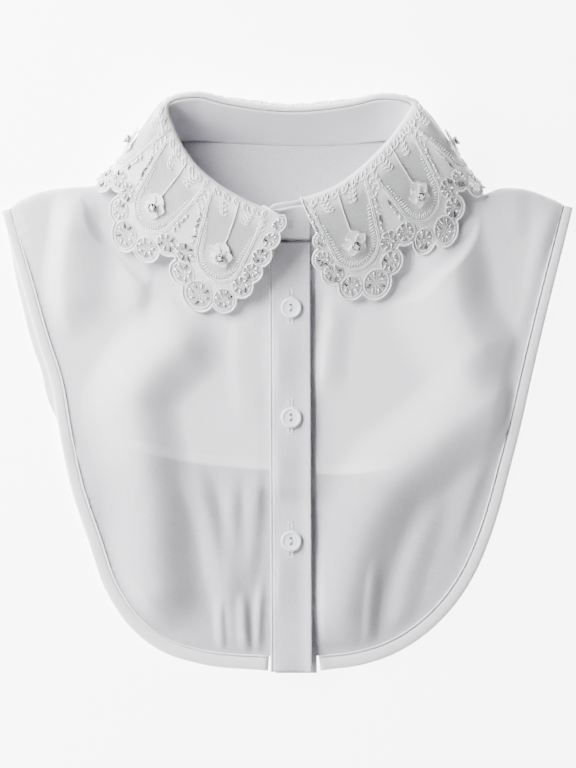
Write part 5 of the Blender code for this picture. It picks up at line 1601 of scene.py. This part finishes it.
for number, lobe in enumerate(FLOWER_LOBES, start=1):
    place, out = (found[0] for found in flower_seat(lobe, np.zeros(1), np.full(1, STONE_DEPTH)))
    seat = place + out * (WALL + GAP + FLOWER_LIFT + FLOWER_WALL + GAP + STONE_CLEAR)
    sideways = unit(np.cross((0.0, 1.0, 0.0), out))
    frame_of_stone = np.array([sideways, np.cross(out, sideways), out])
    spots = []
    for row in CROWN:
        spots += [spot_on(2 * math.pi * (step + row.shift) / 8, row.radius, row.height) for step in range(8)]
    spots += [(0.0, 0.0, STONE_HEIGHT * 1.02), (0.0, 0.0, STONE_HEIGHT * 0.35)]
    faces = []
    for step in range(8):
        after = (step + 1) % 8
        faces.append((step, 8 + after, 8 + step))
        faces.append((step, after, 8 + after))
        faces.append((8 + step, 8 + after, 16 + step))
        faces.append((8 + after, 16 + after, 16 + step))
        faces.append((24, 16 + step, 16 + after))
        faces.append((25, after, step))
    stone = add_piece(f"rhinestone_{number}_glass", seat + spots @ frame_of_stone, faces, glint)
    stone.data.shade_flat()
    layer = stone.data.attributes.new("painted_facet_glint", "FLOAT", "FACE")
    # Painted reflections: the facets get dark or white at random, and every table face is white for the
    # bright middle of the stone.
    painted_glints = np.random.default_rng(number).choice(FACET_GLINT_TONES, len(faces), p=FACET_SHARES)
    painted_glints[TABLE_FACE::FACES_A_STEP] = 1.0
    layer.data.foreach_set("value", painted_glints.astype(np.float32))
    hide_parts(f"rhinestone_{number}")
    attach(stone, "root")

    spots, faces = [], []
    sides = len(CUP_PROFILE)
    for step in range(CUP_STEPS):
        spots += [spot_on(2 * math.pi * step / CUP_STEPS, radius, height) for radius, height in CUP_PROFILE]
        a, b = step * sides, (step + 1) % CUP_STEPS * sides
        faces += [(a + i, b + i, b + (i + 1) % sides, a + (i + 1) % sides) for i in range(sides)]
    for claw in range(4):
        angle = math.pi / 2 * claw + math.pi / 4
        first = len(spots)
        for row in CLAW:
            for thick, hand in ((0, -1), (0, 1), (CLAW_THICK, 1), (CLAW_THICK, -1)):
                turned = angle + hand * row.half
                spots.append(spot_on(turned, row.radius + thick, row.height + thick * 0.6))
        faces.append(tuple(first + i for i in range(4)))
        faces.append(tuple(first + 12 + i for i in (3, 2, 1, 0)))
        for bend in range(3):
            a = first + bend * 4
            faces += [(a + i, a + 4 + i, a + 4 + (i + 1) % 4, a + (i + 1) % 4) for i in range(4)]
    cup = add_piece(f"stone_cup_{number}", seat + spots @ frame_of_stone, faces, silver)
    outwards = bmesh.new()
    outwards.from_mesh(cup.data)
    bmesh.ops.recalc_face_normals(outwards, faces=outwards.faces)
    outwards.to_mesh(cup.data)
    outwards.free()
    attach(cup, "root")

# ---- Buttons
# Pearly white shirt buttons with a raised rim and two holes one above the other, sewn on with
# white thread through the buttonholes of the placket.
BUTTON_RADIUS = 6.5
BUTTON_HEIGHT = 1.6
BUTTON_HOLE = 0.95
BUTTON_HOLE_APART = 3.1
BUTTON_CLEAR = 0.55
BUTTON_PROFILE = [
    (0.00, 0.74), (0.42, 0.73), (0.60, 0.75), (0.68, 0.80), (0.75, 0.93), (0.80, 0.99), (0.86, 1.0),
    (0.92, 0.94), (0.97, 0.78), (1.0, 0.55), (0.99, 0.36), (0.94, 0.18), (0.84, 0.06), (0.70, 0.0),
]  # fmt: skip
BUTTON_THREAD = 0.36
AROUND = 64

pearl = Finish("pearly_resin", roughness=0.22)
pearl.shader.inputs["Coat Weight"].default_value = 0.5
cloud = pearl.noise(260.0, 3.0)
pearl.drive("Base Color", pearl.blend(cloud, (0.74, 0.77, 0.79, 1.0), (0.90, 0.92, 0.93, 1.0)))
pearl.bump(pearl.noise(500.0, 1.0), 0.03)
tilt = math.atan2(PLACKET_LIFT, PLACKET_WIDTH)
for number, y in enumerate(BUTTON_Y, start=1):
    rings = [(radius * BUTTON_RADIUS, height * BUTTON_HEIGHT) for radius, height in BUTTON_PROFILE[1:]]
    angles = [2 * math.pi * step / AROUND for step in range(AROUND)]
    spots = [(far * math.cos(angle), far * math.sin(angle), high) for far, high in rings for angle in angles]
    spots += [(0.0, 0.0, BUTTON_HEIGHT * BUTTON_PROFILE[0][1]), (0.0, 0.0, 0.0)]
    faces = []
    for step in range(AROUND):
        after = (step + 1) % AROUND
        for ring in range(len(rings) - 1):
            a, b = ring * AROUND, (ring + 1) * AROUND
            faces.append((a + step, b + step, b + after, a + after))
        faces.append((len(spots) - 2, step, after))
        last = (len(rings) - 1) * AROUND
        faces.append((len(spots) - 1, last + after, last + step))
    middle = placket_height(y)[0] + UNDER_PLACKET_WALL + GAP + PLACKET_LIFT / 2 + PLACKET_WALL + BUTTON_CLEAR

    def lay(x, along, z):
        """Points on a button, tilted with the placket that it lies on."""
        aside = BUTTON_X + x * math.cos(tilt) - z * math.sin(tilt)
        return np.column_stack([aside, y + along, middle + x * math.sin(tilt) + z * math.cos(tilt)])

    button = add_piece(f"button_{number}_pearl", lay(*np.array(spots).T), faces, pearl)
    drills = []
    for side in (-1, 1):
        drill_mesh = bpy.data.meshes.new("drill")
        drill = bmesh.new()
        sizes = {"radius1": BUTTON_HOLE * MM, "radius2": BUTTON_HOLE * MM, "depth": 10 * MM}
        bmesh.ops.create_cone(drill, cap_ends=True, segments=20, **sizes)
        drill.to_mesh(drill_mesh)
        drill.free()
        tool = bpy.data.objects.new("drill", drill_mesh)
        tool.location = (BUTTON_X * MM, (y + side * BUTTON_HOLE_APART / 2) * MM, middle * MM)
        bpy.context.scene.collection.objects.link(tool)
        hole = button.modifiers.new("Hole", "BOOLEAN")
        hole.object = tool
        drills.append(tool)
    bpy.context.view_layer.update()
    seen = button.evaluated_get(bpy.context.evaluated_depsgraph_get())
    drilled = bpy.data.meshes.new_from_object(seen)
    button.modifiers.clear()
    button.data = drilled
    for tool in drills:
        bpy.data.objects.remove(tool, do_unlink=True)
    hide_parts(f"button_{number}")
    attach(button, "root")

    lines = []
    for shift in (-0.24, 0.24):
        run = np.linspace(-1.0, 1.0, 9)
        high = BUTTON_HEIGHT * 0.73 + 0.22 - 0.9 * np.clip(np.abs(run) - 0.6, 0, None) / 0.4
        lines.append(lay(np.full(9, shift), run * BUTTON_HOLE_APART / 2 * 0.85, high))
    guide = guide_lines("thread", lines)
    thread = grow(f"button_thread_{number}", guide, cord_tree, {"Thickness": BUTTON_THREAD * MM}, sewing)
    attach(thread, "root")
